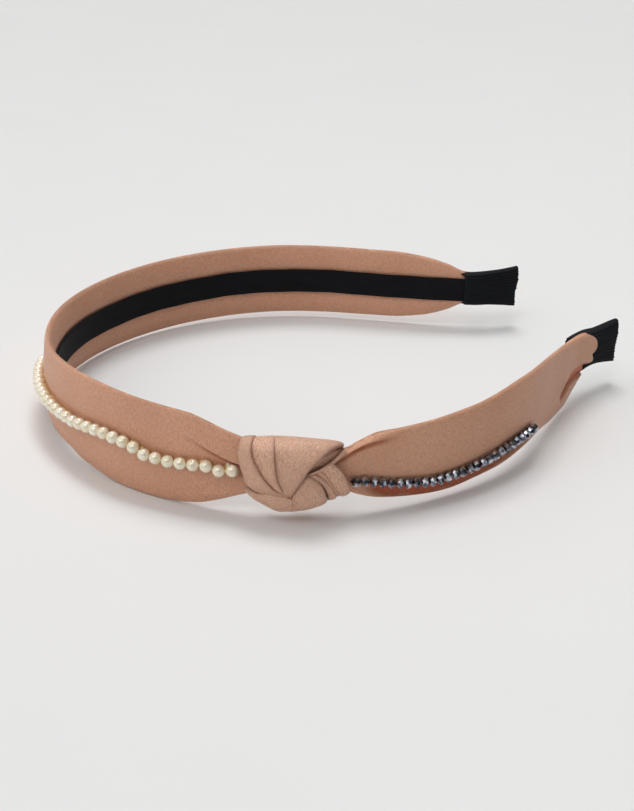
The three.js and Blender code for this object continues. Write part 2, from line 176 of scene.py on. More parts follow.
@dataclass(frozen=True)
class Hoop:
    """The line of the core's middle: two arcs round the head, a straight, and a flare, each way."""

    lengths: Tuple[float, ...] = (
        62 * math.radians(45),
        67 * math.radians(82),
        25.0,
        60 * math.radians(26),
    )
    curvatures: Tuple[float, ...] = (1 / 62, 1 / 67, 0.0, -1 / 60)
    core_face: float = 0.6
    sag: Stops = ((-125, 0.0), (-60, -1.0), (-25, -1.0), (20, 0.0))
    tuck: Stops = ((-125, 0.0), (-60, -0.65), (5, -0.65), (30, 0.0))

    @property
    def arm_length(self) -> float:
        """Distance from the crown to a tip."""
        return sum(self.lengths)

    def origin(self) -> Array:
        """Finds the crown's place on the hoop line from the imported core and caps."""
        core_low, core_high = box_mm("hoop_core_knot_side")
        left, right = box_mm("tip_cap_plain_arm")[0], box_mm("tip_cap_knot_arm")[1]
        return np.array([
            (left[0] + right[0]) / 2,
            core_low[1] + self.core_face,
            (core_low[2] + core_high[2]) / 2,
        ])

    def heading(self, along: Array) -> Tuple[Array, Array, Array, Array]:
        """Walks along the hoop line.

        Args:
            along: Distances from the crown.

        Returns:
            The place across and forward, the heading, and the side of the crown.
        """
        left = np.abs(along)
        across, forward, turn = (np.zeros_like(left) for _ in range(3))
        for i, (length, bend) in enumerate(zip(self.lengths, self.curvatures)):
            step = left if i == len(self.lengths) - 1 else np.minimum(left, length)
            after = turn + step * bend
            if bend == 0:
                across = across + step * np.cos(turn)
                forward = forward + step * np.sin(turn)
            else:
                across = across + (np.sin(after) - np.sin(turn)) / bend
                forward = forward + (np.cos(turn) - np.cos(after)) / bend
            turn = after
            left = left - step
        return across, forward, turn, np.where(np.asarray(along) < 0, -1.0, 1.0)

    def place(self, along: Array, out: Array, up: Array) -> Array:
        """Turns places on the band into points of the row frame.

        Args:
            along: Distances along the hoop.
            out: Distances outward from the core's middle.
            up: Heights above the core's middle.

        Returns:
            The points in metres, with the three coordinates on the last axis.
        """
        along, out, up = np.broadcast_arrays(*(np.asarray(v, float) for v in (along, out, up)))
        across, forward, turn, side = self.heading(along)
        out, up = out + smooth(along, self.tuck), up + smooth(along, self.sag)
        points = np.stack([
            side * (across + out * np.sin(turn)),
            forward - out * np.cos(turn),
            up,
        ], axis=-1)
        return (points + self.origin()) * MM


HOOP = Hoop()


# ---------------------------------------------------------------------------------------------
# Meshes
# ---------------------------------------------------------------------------------------------


def link(name: str, mesh: bpy.types.Mesh) -> bpy.types.Object:
    """Puts a mesh into the scene as an object at the origin."""
    piece = bpy.data.objects.new(name, mesh)
    bpy.context.scene.collection.objects.link(piece)
    return piece


class Shell:
    """Collects grids of points and makes them one mesh, with a cloth coordinate on each point."""

    def __init__(self) -> None:
        """Starts with nothing."""
        self.points: List[Array] = []
        self.cloth: List[Array] = []
        self.faces: List[Tuple[int, ...]] = []
        self.count = 0

    def add_grid(self, points: Array, cloth: Array, loop: bool = False) -> Tuple[int, int, int]:
        """Adds a grid of points.

        Args:
            points: Points in metres, as rows of columns.
            cloth: Place of each point in the cloth, in millimetres along and across, and
                the weight of painted shade for hollows there, from 0 to 1, where that is given.
            loop: Whether the last column joins the first.

        Returns:
            The first point's number, the rows and the columns.
        """
        rows, columns = points.shape[:2]
        start = self.count
        self.points.append(points.reshape(-1, 3))
        flat = np.zeros((rows * columns, 3))
        flat[:, :cloth.shape[-1]] = cloth.reshape(-1, cloth.shape[-1])
        self.cloth.append(flat)
        self.count += rows * columns
        last = columns if loop else columns - 1
        for r in range(rows - 1):
            near, far = start + r * columns, start + (r + 1) * columns
            for c in range(last):
                d = (c + 1) % columns
                self.faces.append((near + c, near + d, far + d, far + c))
        return start, rows, columns

    def close_row(self, grid: Tuple[int, int, int], row: int) -> None:
        """Closes a looped grid's end with faces round a new middle point.

        Args:
            grid: What add_grid returned.
            row: The end's row, 0 or -1.
        """
        start, rows, columns = grid
        first = start + (row % rows) * columns
        ring = np.concatenate(self.points)[first:first + columns]
        cloth = np.concatenate(self.cloth)[first:first + columns]
        self.points.append(ring.mean(axis=0)[None])
        self.cloth.append(cloth.mean(axis=0)[None])
        middle = self.count
        self.count += 1
        for c in range(columns):
            d = (c + 1) % columns
            pair = (first + c, first + d) if row else (first + d, first + c)
            self.faces.append((*pair, middle))

    def make(self, name: str, merge: float = 0.0) -> bpy.types.Object:
        """Makes the object, with its normals outward.

        Args:
            name: The piece's name.
            merge: Points nearer than this, in metres, become one.

        Returns:
            The new object.
        """
        mesh = bpy.data.meshes.new(name)
        mesh.from_pydata(np.concatenate(self.points).tolist(), [], self.faces)
        cloth = np.concatenate(self.cloth)
        attribute = mesh.attributes.new("cloth", "FLOAT_VECTOR", "POINT")
        attribute.data.foreach_set("vector", cloth.astype(np.float32).ravel())
        bm = bmesh.new()
        bm.from_mesh(mesh)
        if merge:
            bmesh.ops.remove_doubles(bm, verts=bm.verts, dist=merge)
        bmesh.ops.recalc_face_normals(bm, faces=bm.faces)
        bm.to_mesh(mesh)
        bm.free()
        mesh.shade_smooth()
        return link(name, mesh)


def apply_modifiers(piece: bpy.types.Object) -> bpy.types.Object:
    """Turns what the modifiers make into a plain mesh, and removes them."""
    graph = bpy.context.evaluated_depsgraph_get()
    mesh = bpy.data.meshes.new_from_object(piece.evaluated_get(graph), depsgraph=graph)
    piece.modifiers.clear()
    old = piece.data
    piece.data = mesh
    mesh.name = piece.name
    bpy.data.meshes.remove(old)
    return piece


def thicken(piece: bpy.types.Object, wall: float) -> bpy.types.Object:
    """Gives a cloth surface its wall, inward.

    Args:
        piece: The cloth's outer surface.
        wall: Thickness in millimetres.

    Returns:
        The piece, as a plain closed mesh.
    """
    solidify = piece.modifiers.new("wall", "SOLIDIFY")
    solidify.thickness = wall * MM
    solidify.offset = -1
    return apply_modifiers(piece)


def path_mesh(name: str, paths: Sequence[Array]) -> bpy.types.Object:
    """Makes an object of plain edges that follow each path of points."""
    mesh = bpy.data.meshes.new(name)
    points = np.concatenate(paths)
    edges, start = [], 0
    for path in paths:
        edges += [(start + i, start + i + 1) for i in range(len(path) - 1)]
        start += len(path)
    mesh.from_pydata(points.tolist(), edges, [])
    return link(name, mesh)


# ---------------------------------------------------------------------------------------------
# Geometry node trees
# ---------------------------------------------------------------------------------------------


class PathTree:
    """A geometry node tree that works along the edges of a path mesh."""

    def __init__(self, name: str) -> None:
        """Starts a tree with its geometry input.

        Args:
            name: The tree's name.
        """
        self.tree = bpy.data.node_groups.new(name, "GeometryNodeTree")
        self.tree.is_modifier = True
        self.idents: Dict[str, str] = {}
        face = self.tree.interface
        face.new_socket("Path", in_out="INPUT", socket_type="NodeSocketGeometry")
        face.new_socket("Pieces", in_out="OUTPUT", socket_type="NodeSocketGeometry")
        self.inputs = self.tree.nodes.new("NodeGroupInput")
        self.outputs = self.tree.nodes.new("NodeGroupOutput")

    def size(self, name: str, kind: str, value: Any = None) -> bpy.types.NodeSocket:
        """Adds a named input.

        Args:
            name: The input's name.
            kind: Its socket type's last word, such as Float or Int.
            value: Its usual value.

        Returns:
            The socket to link from.
        """
        made = self.tree.interface.new_socket(
            name, in_out="INPUT", socket_type="NodeSocket" + kind)
        if value is not None:
            made.default_value = value
        self.idents[name] = made.identifier
        return self.inputs.outputs[name]

    def node(self, kind: str, settings: Optional[Dict[str, Any]] = None,
             **sockets: Any) -> bpy.types.Node:
        """Adds a node.

        Args:
            kind: The node's type after GeometryNode, or the whole type.
            settings: Its properties, set first.
            sockets: Values or links of its inputs, with _ for a space.

        Returns:
            The node.
        """
        whole = kind if kind.startswith(("Function", "Shader")) else "GeometryNode" + kind
        made = self.tree.nodes.new(whole)
        for key, value in (settings or {}).items():
            setattr(made, key, value)
        for key, value in sockets.items():
            named = key.replace("_", " ")
            socket = next(
                s for s in made.inputs
                if s.enabled and named in (s.name, s.identifier, s.name.replace("-", " ")))
            if isinstance(value, bpy.types.NodeSocket):
                self.tree.links.new(value, socket)
            else:
                socket.default_value = value
        return made

    def finish(self, geometry: bpy.types.NodeSocket) -> None:
        """Ends the tree in real geometry that carries its material."""
        real = self.node("RealizeInstances", Geometry=geometry)
        dressed = self.node(
            "SetMaterial", Geometry=real.outputs[0], Material=self.size("Material", "Material"))
        self.tree.links.new(dressed.outputs[0], self.outputs.inputs[0])

    def run(self, piece: bpy.types.Object, **values: Any) -> bpy.types.Object:
        """Runs the tree on a path mesh and keeps the result as a plain mesh.

        Args:
            piece: The path mesh.
            values: The named inputs, with _ for a space.

        Returns:
            The piece.
        """
        modifier = piece.modifiers.new(self.tree.name, "NODES")
        modifier.node_group = self.tree
        for key, value in values.items():
            modifier[self.idents[key.replace("_", " ")]] = value
        return apply_modifiers(piece)


def string_tree(name: str, kind: str, smooth_faces: bool, **shape: int) -> PathTree:
    """Builds the tree that strings equal round pieces on a path.

    Args:
        name: The tree's name.
        kind: The mesh primitive's type.
        smooth_faces: Whether the pieces are smooth, and not cut in facets.
        shape: The primitive's own counts.

    Returns:
        The tree.
    """
    tree = PathTree(name)
    count = tree.size("Count", "Int", 10)
    radius = tree.size("Radius", "Float", 0.001)
    flatten = tree.size("Length Share", "Float", 1.0)
    spread = tree.size("Size Spread", "Float", 0.02)
    wander = tree.size("Wander", "Float", 0.0)
    turn = tree.size("Turn Spread", "Float", 0.0)
    seed = tree.size("Seed", "Int", 1)
    line = tree.node("MeshToCurve", Mesh=tree.inputs.outputs["Path"])
    even = tree.node("ResampleCurve", Curve=line.outputs[0], Count=count)
    tangent = tree.node("InputTangent")
    facing = tree.node("FunctionNodeAlignRotationToVector", {"axis": "Z"},
                       Vector=tangent.outputs[0])
    spin = tree.node("FunctionNodeRandomValue", {"data_type": "FLOAT"}, Min=0.0, Max=turn,
                     Seed=seed)
    spun = tree.node("FunctionNodeAxisAngleToRotation", Axis=(0.0, 0.0, 1.0),
                     Angle=spin.outputs["Value"])
    turned = tree.node("FunctionNodeRotateRotation", {"rotation_space": "LOCAL"},
                       Rotation=facing.outputs[0], Rotate_By=spun.outputs[0])
    least = tree.node("ShaderNodeMath", {"operation": "SUBTRACT"})
    least.inputs[0].default_value = 1.0
    tree.tree.links.new(spread, least.inputs[1])
    scale = tree.node("FunctionNodeRandomValue", {"data_type": "FLOAT"}, Min=least.outputs[0],
                      Max=1.0, Seed=seed)
    squeeze = tree.node("ShaderNodeCombineXYZ", X=1.0, Y=1.0, Z=flatten)
    sized = tree.node("ShaderNodeVectorMath", {"operation": "SCALE"}, Vector=squeeze.outputs[0],
                      Scale=scale.outputs["Value"])
    shift = tree.node("ShaderNodeVectorMath", {"operation": "SCALE"},
                      Vector=(0.0, 0.0, 1.0), Scale=wander)
    back = tree.node("ShaderNodeVectorMath", {"operation": "SCALE"},
                     Vector=shift.outputs[0], Scale=-1.0)
    drift = tree.node("FunctionNodeRandomValue", {"data_type": "FLOAT_VECTOR"},
                      Min=back.outputs[0], Max=shift.outputs[0], Seed=seed)
    placed = tree.node("SetPosition", Geometry=even.outputs[0], Offset=drift.outputs["Value"])
    round_piece = tree.node(kind, Radius=radius, **shape)
    shaded = tree.node("SetShadeSmooth", Geometry=round_piece.outputs[0],
                       Shade_Smooth=smooth_faces)
    strung = tree.node("InstanceOnPoints", Points=placed.outputs[0], Instance=shaded.outputs[0],
                       Rotation=turned.outputs[0], Scale=sized.outputs[0])
    tree.finish(strung.outputs["Instances"])
    return tree


def piping_tree(name: str) -> PathTree:
    """Builds the tree that runs a round rod along each path, for threads and ribs."""
    tree = PathTree(name)
    radius = tree.size("Radius", "Float", 0.0002)
    step = tree.size("Step", "Float", 0.001)
    sides = tree.size("Sides", "Int", 8)
    line = tree.node("MeshToCurve", Mesh=tree.inputs.outputs["Path"])
    even = tree.node("ResampleCurve", {"mode": "LENGTH"}, Curve=line.outputs[0], Length=step)
    section = tree.node("CurvePrimitiveCircle", Resolution=sides, Radius=radius)
    rod = tree.node("CurveToMesh", Curve=even.outputs[0], Profile_Curve=section.outputs[0],
                    Fill_Caps=True)
    shaded = tree.node("SetShadeSmooth", Geometry=rod.outputs[0], Shade_Smooth=True)
    tree.finish(shaded.outputs[0])
    return tree


# ---------------------------------------------------------------------------------------------
# Materials
# ---------------------------------------------------------------------------------------------


class Shade:
    """One number socket of a material, on which arithmetic adds Math nodes."""

    def __init__(self, dress: "Dress", socket: bpy.types.NodeSocket) -> None:
        """Wraps a socket of a dress."""
        self.dress, self.socket = dress, socket

    def math(self, operation: str, other: Any, swapped: bool = False) -> "Shade":
        """Adds a Math node on this socket and another value.

        Args:
            operation: The node's operation.
            other: A number or a Shade.
            swapped: Whether the other value comes first.

        Returns:
            The node's result.
        """
        first, second = (other, self) if swapped else (self, other)
        node = self.dress.node("Math", {"operation": operation}, **{"0": first, "1": second})
        return Shade(self.dress, node.outputs[0])

    def __add__(self, other: Any) -> "Shade":
        """Adds."""
        return self.math("ADD", other)

    def __radd__(self, other: Any) -> "Shade":
        """Adds, from the right."""
        return self.math("ADD", other, True)

    def __sub__(self, other: Any) -> "Shade":
        """Takes away."""
        return self.math("SUBTRACT", other)

    def __rsub__(self, other: Any) -> "Shade":
        """Takes this away from a value."""
        return self.math("SUBTRACT", other, True)

    def __mul__(self, other: Any) -> "Shade":
        """Multiplies."""
        return self.math("MULTIPLY", other)

    def __rmul__(self, other: Any) -> "Shade":
        """Multiplies, from the right."""
        return self.math("MULTIPLY", other, True)

    def between(self, low: float, high: float) -> "Shade":
        """Maps low to 0 and high to 1, and stays within them."""
        node = self.dress.node("MapRange", {"clamp": True}, Value=self, From_Min=low,
                               From_Max=high, To_Min=0.0, To_Max=1.0)
        return Shade(self.dress, node.outputs[0])


class Dress:
    """Builds one node material."""

    def __init__(self, name: str) -> None:
        """Starts a material with only its shader and its output.

        Args:
            name: The material's name.
        """
        self.material = bpy.data.materials.new(name)
        self.material.use_nodes = True
        self.tree = self.material.node_tree
        self.tree.nodes.clear()
        self.shader = self.tree.nodes.new("ShaderNodeBsdfPrincipled")
        output = self.tree.nodes.new("ShaderNodeOutputMaterial")
        self.tree.links.new(self.shader.outputs[0], output.inputs[0])

    def put(self, node: bpy.types.Node, key: str, value: Any) -> None:
        """Sets or links one input of a node.

        Args:
            node: The node.
            key: The input's name, or its number as text.
            value: A number, colour, Shade or socket.
        """
        socket = node.inputs[int(key)] if key.isdigit() else node.inputs[key]
        if isinstance(value, Shade):
            value = value.socket
        if isinstance(value, bpy.types.NodeSocket):
            self.tree.links.new(value, socket)
        else:
            socket.default_value = value

    def node(self, kind: str, settings: Optional[Dict[str, Any]] = None,
             **sockets: Any) -> bpy.types.Node:
        """Adds a node.

        Args:
            kind: The node's type after ShaderNode.
            settings: Its properties, set first.
            sockets: Values or links of its inputs, with _ for a space.

        Returns:
            The node.
        """
        made = self.tree.nodes.new("ShaderNode" + kind)
        for key, value in (settings or {}).items():
            setattr(made, key, value)
        for key, value in sockets.items():
            self.put(made, key.replace("_", " "), value)
        return made

    def mix(self, share: Any, first: Any, second: Any) -> bpy.types.NodeSocket:
        """Mixes two colours, through the Mix node's colour inputs 6 and 7.

        Args:
            share: How much of the second.
            first: A colour or socket.
            second: A colour or socket.

        Returns:
            The mixed colour's socket.
        """
        made = self.node("Mix", {"data_type": "RGBA"})
        for number, value in ((0, share), (6, first), (7, second)):
            self.put(made, str(number), value)
        return made.outputs[2]

    def cloth(self) -> bpy.types.NodeSocket:
        """Gives the cloth coordinate: along, across, and the weight of painted shade in hollows."""
        return self.node("Attribute", {"attribute_name": "cloth"}).outputs["Vector"]

    def cloth_place(self, scale: Place, turn: float = 0.0) -> bpy.types.NodeSocket:
        """Gives the place in the cloth, stretched for a pattern.

        Args:
            scale: Pattern lengths per millimetre along and across, and a third number.
            turn: The pattern's turn in radians.

        Returns:
            The vector's socket.
        """
        return self.node("Mapping", Vector=self.cloth(), Rotation=(0.0, 0.0, turn),
                         Scale=scale).outputs[0]

    def object_place(self, scale: float) -> bpy.types.NodeSocket:
        """Gives the place on the piece, with scale pattern lengths in a millimetre."""
        place = self.node("TexCoord").outputs["Object"]
        return self.node("Mapping", Vector=place, Scale=(scale / MM,) * 3).outputs[0]

    def noise(self, place: bpy.types.NodeSocket, scale: float = 1.0, detail: float = 2.0,
              distortion: float = 0.0) -> Shade:
        """Adds a noise pattern.

        Args:
            place: Where it is read.
            scale: Its scale.
            detail: Its detail.
            distortion: Its distortion.

        Returns:
            The pattern, around one half.
        """
        made = self.node("TexNoise", Vector=place, Scale=scale, Detail=detail,
                         Distortion=distortion)
        return Shade(self, made.outputs[0])

    def bump(self, height: Shade, depth: float) -> None:
        """Lets a height, in millimetres times depth, lean the shader's normal."""
        made = self.node("Bump", Height=height, Distance=depth * MM, Strength=1.0)
        self.put(self.shader, "Normal", made.outputs[0])

    def fixed(self, **values: Any) -> None:
        """Sets the shader's own sockets, with _ for a space."""
        for key, value in values.items():
            self.put(self.shader, key.replace("_", " "), value)


def tone(red: int, green: int, blue: int) -> Colour:
    """Turns a colour of 0 to 255 into linear light."""
    parts = [v / 255 for v in (red, green, blue)]
    linear = [v / 12.92 if v <= 0.04045 else ((v + 0.055) / 1.055) ** 2.4 for v in parts]
    return (*linear, 1.0)


@dataclass(frozen=True)
class CrepeSatin:
    """Crepe-backed satin: a soft sheen broken up by short wavy streaks across the cloth."""

    name: str
    light: Colour = tone(238, 184, 152)
    deep: Colour = tone(192, 134, 104)
    # The third colour is painted shade, mixed into dips and creases.
    hollow: Colour = tone(204, 94, 52)
    sheen: Colour = (1.0, 0.86, 0.76, 1.0)
    streak_width: float = 0.22
    streak_length: float = 0.62
    streak_turn: float = 0.12
    streak_share: float = 0.75
    fine_grain: Place = (5.5, 3.2, 1.0)
    cloud_scale: float = 0.06
    cloud_share: float = 0.22
    hollow_share: float = 0.85
    middle: float = 0.49
    relief: float = 0.2
    roughness: float = 0.46
    unevenness: float = 0.22
    softness: float = 0.19

    def make(self) -> bpy.types.Material:
        """Builds the material."""
        dress = Dress(self.name)
        place = dress.cloth_place((1 / self.streak_width, 1 / self.streak_length, 1.0),
                                  self.streak_turn)
        streaks = dress.noise(place, 1.0, 3.0, 1.1)
        fine = dress.noise(dress.cloth_place(self.fine_grain), 1.0, 2.0, 0.4)
        clouds = dress.noise(dress.object_place(self.cloud_scale), 1.0, 2.0)
        height = streaks * self.streak_share + fine * (1 - self.streak_share)
        lit = height.between(self.middle - self.softness, self.middle + self.softness)
        cloth = dress.mix(clouds.between(0.35, 0.7) * self.cloud_share,
                          dress.mix(lit, self.deep, self.light), self.deep)
        # Painted shade: the cloth's third coordinate mixes dips and creases towards a deep orange
        # shade colour.
        depth = dress.node("SeparateXYZ", Vector=dress.cloth()).outputs["Z"]
        hollow = Shade(dress, depth).between(0.0, 1.0) * self.hollow_share
        dress.fixed(Base_Color=dress.mix(hollow, cloth, self.hollow),
                    Roughness=self.roughness + (height - 0.5) * self.unevenness,
                    Sheen_Weight=0.08, Sheen_Roughness=0.5, Sheen_Tint=self.sheen,
                    Specular_IOR_Level=0.42)
        dress.bump(height, self.relief)
        return dress.material


@dataclass(frozen=True)
class Velvet:
    """Black velvet ribbon: a matt nap that a low light only just catches."""

    name: str = "velvet_ribbon"
    dark: Colour = tone(8, 9, 12)
    nap: Colour = tone(24, 25, 31)

    def make(self) -> bpy.types.Material:
        """Builds the material."""
        dress = Dress(self.name)
        fibre = dress.noise(dress.cloth_place((2.2, 5.0, 1.0)), 1.0, 4.0)
        brushed = dress.noise(dress.cloth_place((0.12, 0.5, 1.0)), 1.0, 2.0)
        dress.fixed(Base_Color=dress.mix(fibre * brushed * 1.4, self.dark, self.nap),
                    Roughness=0.82 + fibre * 0.15, Sheen_Weight=0.05, Sheen_Roughness=0.45,
                    Specular_IOR_Level=0.2)
        dress.bump(fibre, 0.08)
        return dress.material


@dataclass(frozen=True)
class Elastic:
    """Black ribbed elastic: matt knit with a fine cross weave on its ribs."""

    name: str = "ribbed_elastic_black"
    dark: Colour = tone(8, 10, 13)
    worn: Colour = tone(30, 33, 39)

    def make(self) -> bpy.types.Material:
        """Builds the material."""
        dress = Dress(self.name)
        place = dress.object_place(1.0)
        fibre = dress.noise(place, 2.4, 4.0)
        # Sharp ridges, found by pointiness, are mixed towards a paler grey.
        ridge = Shade(dress, dress.node("NewGeometry").outputs["Pointiness"]).between(0.5, 0.6)
        dress.fixed(Base_Color=dress.mix(ridge * 0.5 + fibre * 0.2, self.dark, self.worn),
                    Roughness=0.7 + fibre * 0.25, Sheen_Weight=0.02, Specular_IOR_Level=0.2)
        dress.bump(fibre, 0.1)
        return dress.material


@dataclass(frozen=True)
class PearlCoat:
    """Cream imitation pearl: a glossy coat over a warm, slightly mottled body."""

    name: str = "cream_pearl"
    cream: Colour = tone(250, 243, 220)
    warm: Colour = tone(242, 228, 194)

    def make(self) -> bpy.types.Material:
        """Builds the material."""
        dress = Dress(self.name)
        mottle = dress.noise(dress.object_place(0.35), 1.0, 2.0)
        dress.fixed(Base_Color=dress.mix(mottle.between(0.35, 0.65), self.cream, self.warm),
                    Roughness=0.1 + mottle * 0.04, Specular_IOR_Level=0.8,
                    Coat_Weight=1.0, Coat_Roughness=0.03, Coat_IOR=2.3,
                    Subsurface_Weight=0.15, Subsurface_Radius=(0.0012, 0.0009, 0.0005),
                    Subsurface_Scale=1.0)
        return dress.material


@dataclass(frozen=True)
class Hematite:
    """Faceted metal-grey bead with a mirror coat, slightly uneven from facet to facet."""

    name: str = "hematite_facets"
    dark: Colour = tone(84, 87, 96)
    pale: Colour = tone(206, 209, 218)

    def make(self) -> bpy.types.Material:
        """Builds the material."""
        dress = Dress(self.name)
        mottle = dress.noise(dress.object_place(0.9), 1.0, 2.0)
        dress.fixed(Base_Color=dress.mix(mottle.between(0.4, 0.62), self.dark, self.pale),
                    Metallic=1.0, Roughness=0.05 + mottle * 0.04, Coat_Weight=0.3)
        return dress.material


@dataclass(frozen=True)
class Plain:
    """A finish of two near colours in a fine grain: thread, glue, core, or paper."""

    name: str
    colour: Colour
    second: Colour
    roughness: float = 0.6
    metal: float = 0.0
    grain: float = 1.5
    relief: float = 0.02
    through: float = 0.0

    def make(self) -> bpy.types.Material:
        """Builds the material."""
        dress = Dress(self.name)
        grain = dress.noise(dress.object_place(self.grain), 1.0, 3.0)
        dress.fixed(Base_Color=dress.mix(grain.between(0.35, 0.65), self.colour, self.second),
                    Roughness=self.roughness + (grain - 0.5) * 0.15, Metallic=self.metal)
        if self.through:
            dress.fixed(Subsurface_Weight=self.through, Subsurface_Scale=0.001)
        if self.relief:
            dress.bump(grain, self.relief)
        return dress.material


def dress_piece(piece: bpy.types.Object, material: bpy.types.Material) -> None:
    """Gives a piece its finish."""
    piece.data.materials.clear()
    piece.data.materials.append(material)


# ---------------------------------------------------------------------------------------------
# The crown, where the two arms bend apart
# ---------------------------------------------------------------------------------------------


def settle(piece: bpy.types.Object, body: Optional[Body], *nodes: str) -> bpy.types.Object:
    """Ties a finished piece to its body, or else bakes its place, and hides what it replaces.

    Args:
        piece: The piece.
        body: Its body, or None for a piece that bends round the crown.
        nodes: CAD nodes that it stands for.

    Returns:
        The piece.
    """
    if body is None:
        crown = HOOP.origin() * MM
        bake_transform(piece)
    else:
        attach(piece, body.value)
    if nodes:
        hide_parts(*nodes)
    LOG.info("%s: %d faces", piece.name, len(piece.data.polygons))
    return piece


def lay(tree: PathTree, name: str, paths: Sequence[Array], slot: Slot, body: Optional[Body],
        nodes: Sequence[str] = (), **sizes: Any) -> bpy.types.Object:
    """Makes a piece along paths with a tree and settles it.

    Args:
        tree: The tree that makes it.
        name: The piece's name.
        paths: The lines that it follows, in metres.
        slot: The record's slot that its finish comes from; not used.
        body: Its body, or None for a piece that bends round the crown.
        nodes: CAD nodes that it stands for.
        sizes: The tree's named inputs, with _ for a space.

    Returns:
        The piece.
    """
    piece = tree.run(path_mesh(name, paths), **sizes)
    return settle(piece, body, *nodes)


# ---------------------------------------------------------------------------------------------
# Core and lining
# ---------------------------------------------------------------------------------------------


def rounded_strip(name: str, end: float, section: Callable[[float], Array],
                  step: float) -> bpy.types.Object:
    """Lofts a closed strip along the hoop, as far each way from the crown.

    Args:
        name: The piece's name.
        end: How far it reaches.
        section: Gives the ring of (out, up) at a distance along.
        step: Longest distance between rings.

    Returns:
        The piece.
    """
    shell = Shell()
    along = np.linspace(-end, end, int(2 * end / step) + 2)
    rings = np.stack([section(at) for at in along])
    points = HOOP.place(along[:, None], rings[..., 0], rings[..., 1])
    cloth = np.stack([np.broadcast_to(along[:, None], rings.shape[:2]), rings[..., 1]], axis=-1)
    grid = shell.add_grid(points, cloth, loop=True)
    shell.close_row(grid, 0)
    shell.close_row(grid, -1)
    return shell.make(name)


def pill(out: float, back: float, half: float, power: float, count: int) -> Array:
    """Outlines a flat rounded section.

    Args:
        out: How far its outer face is out.
        back: How far its inner face is out.
        half: Half its width.
        power: How square its corners are.
        count: Points round it.

    Returns:
        The ring of (out, up).
    """
    turn = np.arange(count) / count * math.tau
    c, s = np.cos(turn), np.sin(turn)
    across = np.sign(c) * np.abs(c) ** (2 / power)
    rise = np.sign(s) * np.abs(s) ** (2 / power)
    return np.column_stack([(out + back) / 2 + across * (out - back) / 2, rise * half])


@dataclass
class CoreAndLining:
    """The springy core inside the satin, and the velvet ribbon along the inside of the hoop."""

    core_width: float = 7.0
    core_face: float = HOOP.core_face
    core_end: float = HOOP.arm_length - 1.2
    lining_width: float = 7.0
    lining_out: float = -1.45
    lining_back: float = -2.25
    lining_end: float = HOOP.arm_length - 12.0

    def build(self) -> None:
        """Makes both pieces, each whole across the crown."""
        steel = Plain("spring_core_lacquer", tone(44, 44, 46), tone(58, 58, 60), 0.42, 0.3)
        core = rounded_strip("core_strip", self.core_end, self.core_section, 2.2)
        dress_piece(core, steel.make())
        settle(core, None, "hoop_core_knot_side", "hoop_core_plain_side")
        lining = rounded_strip("velvet_lining", self.lining_end, self.lining_section, 1.3)
        dress_piece(lining, Velvet().make())
        settle(lining, None, "lining_ribbon_knot_side", "lining_ribbon_plain_side")

    def core_section(self, at: float) -> Array:
        """Outlines the core, which is the same all along."""
        return pill(self.core_face, -self.core_face, self.core_width / 2, 8, 24)

    def lining_section(self, at: float) -> Array:
        """Outlines the ribbon, whose soft edges waver a little along it."""
        ring = pill(self.lining_out, self.lining_back, self.lining_width / 2, 5, 44)
        ring[:, 1] += 0.06 * math.sin(at * 0.21) + 0.04 * math.sin(at * 0.57 + 1)
        return ring


# ---------------------------------------------------------------------------------------------
# Satin sleeves
# ---------------------------------------------------------------------------------------------


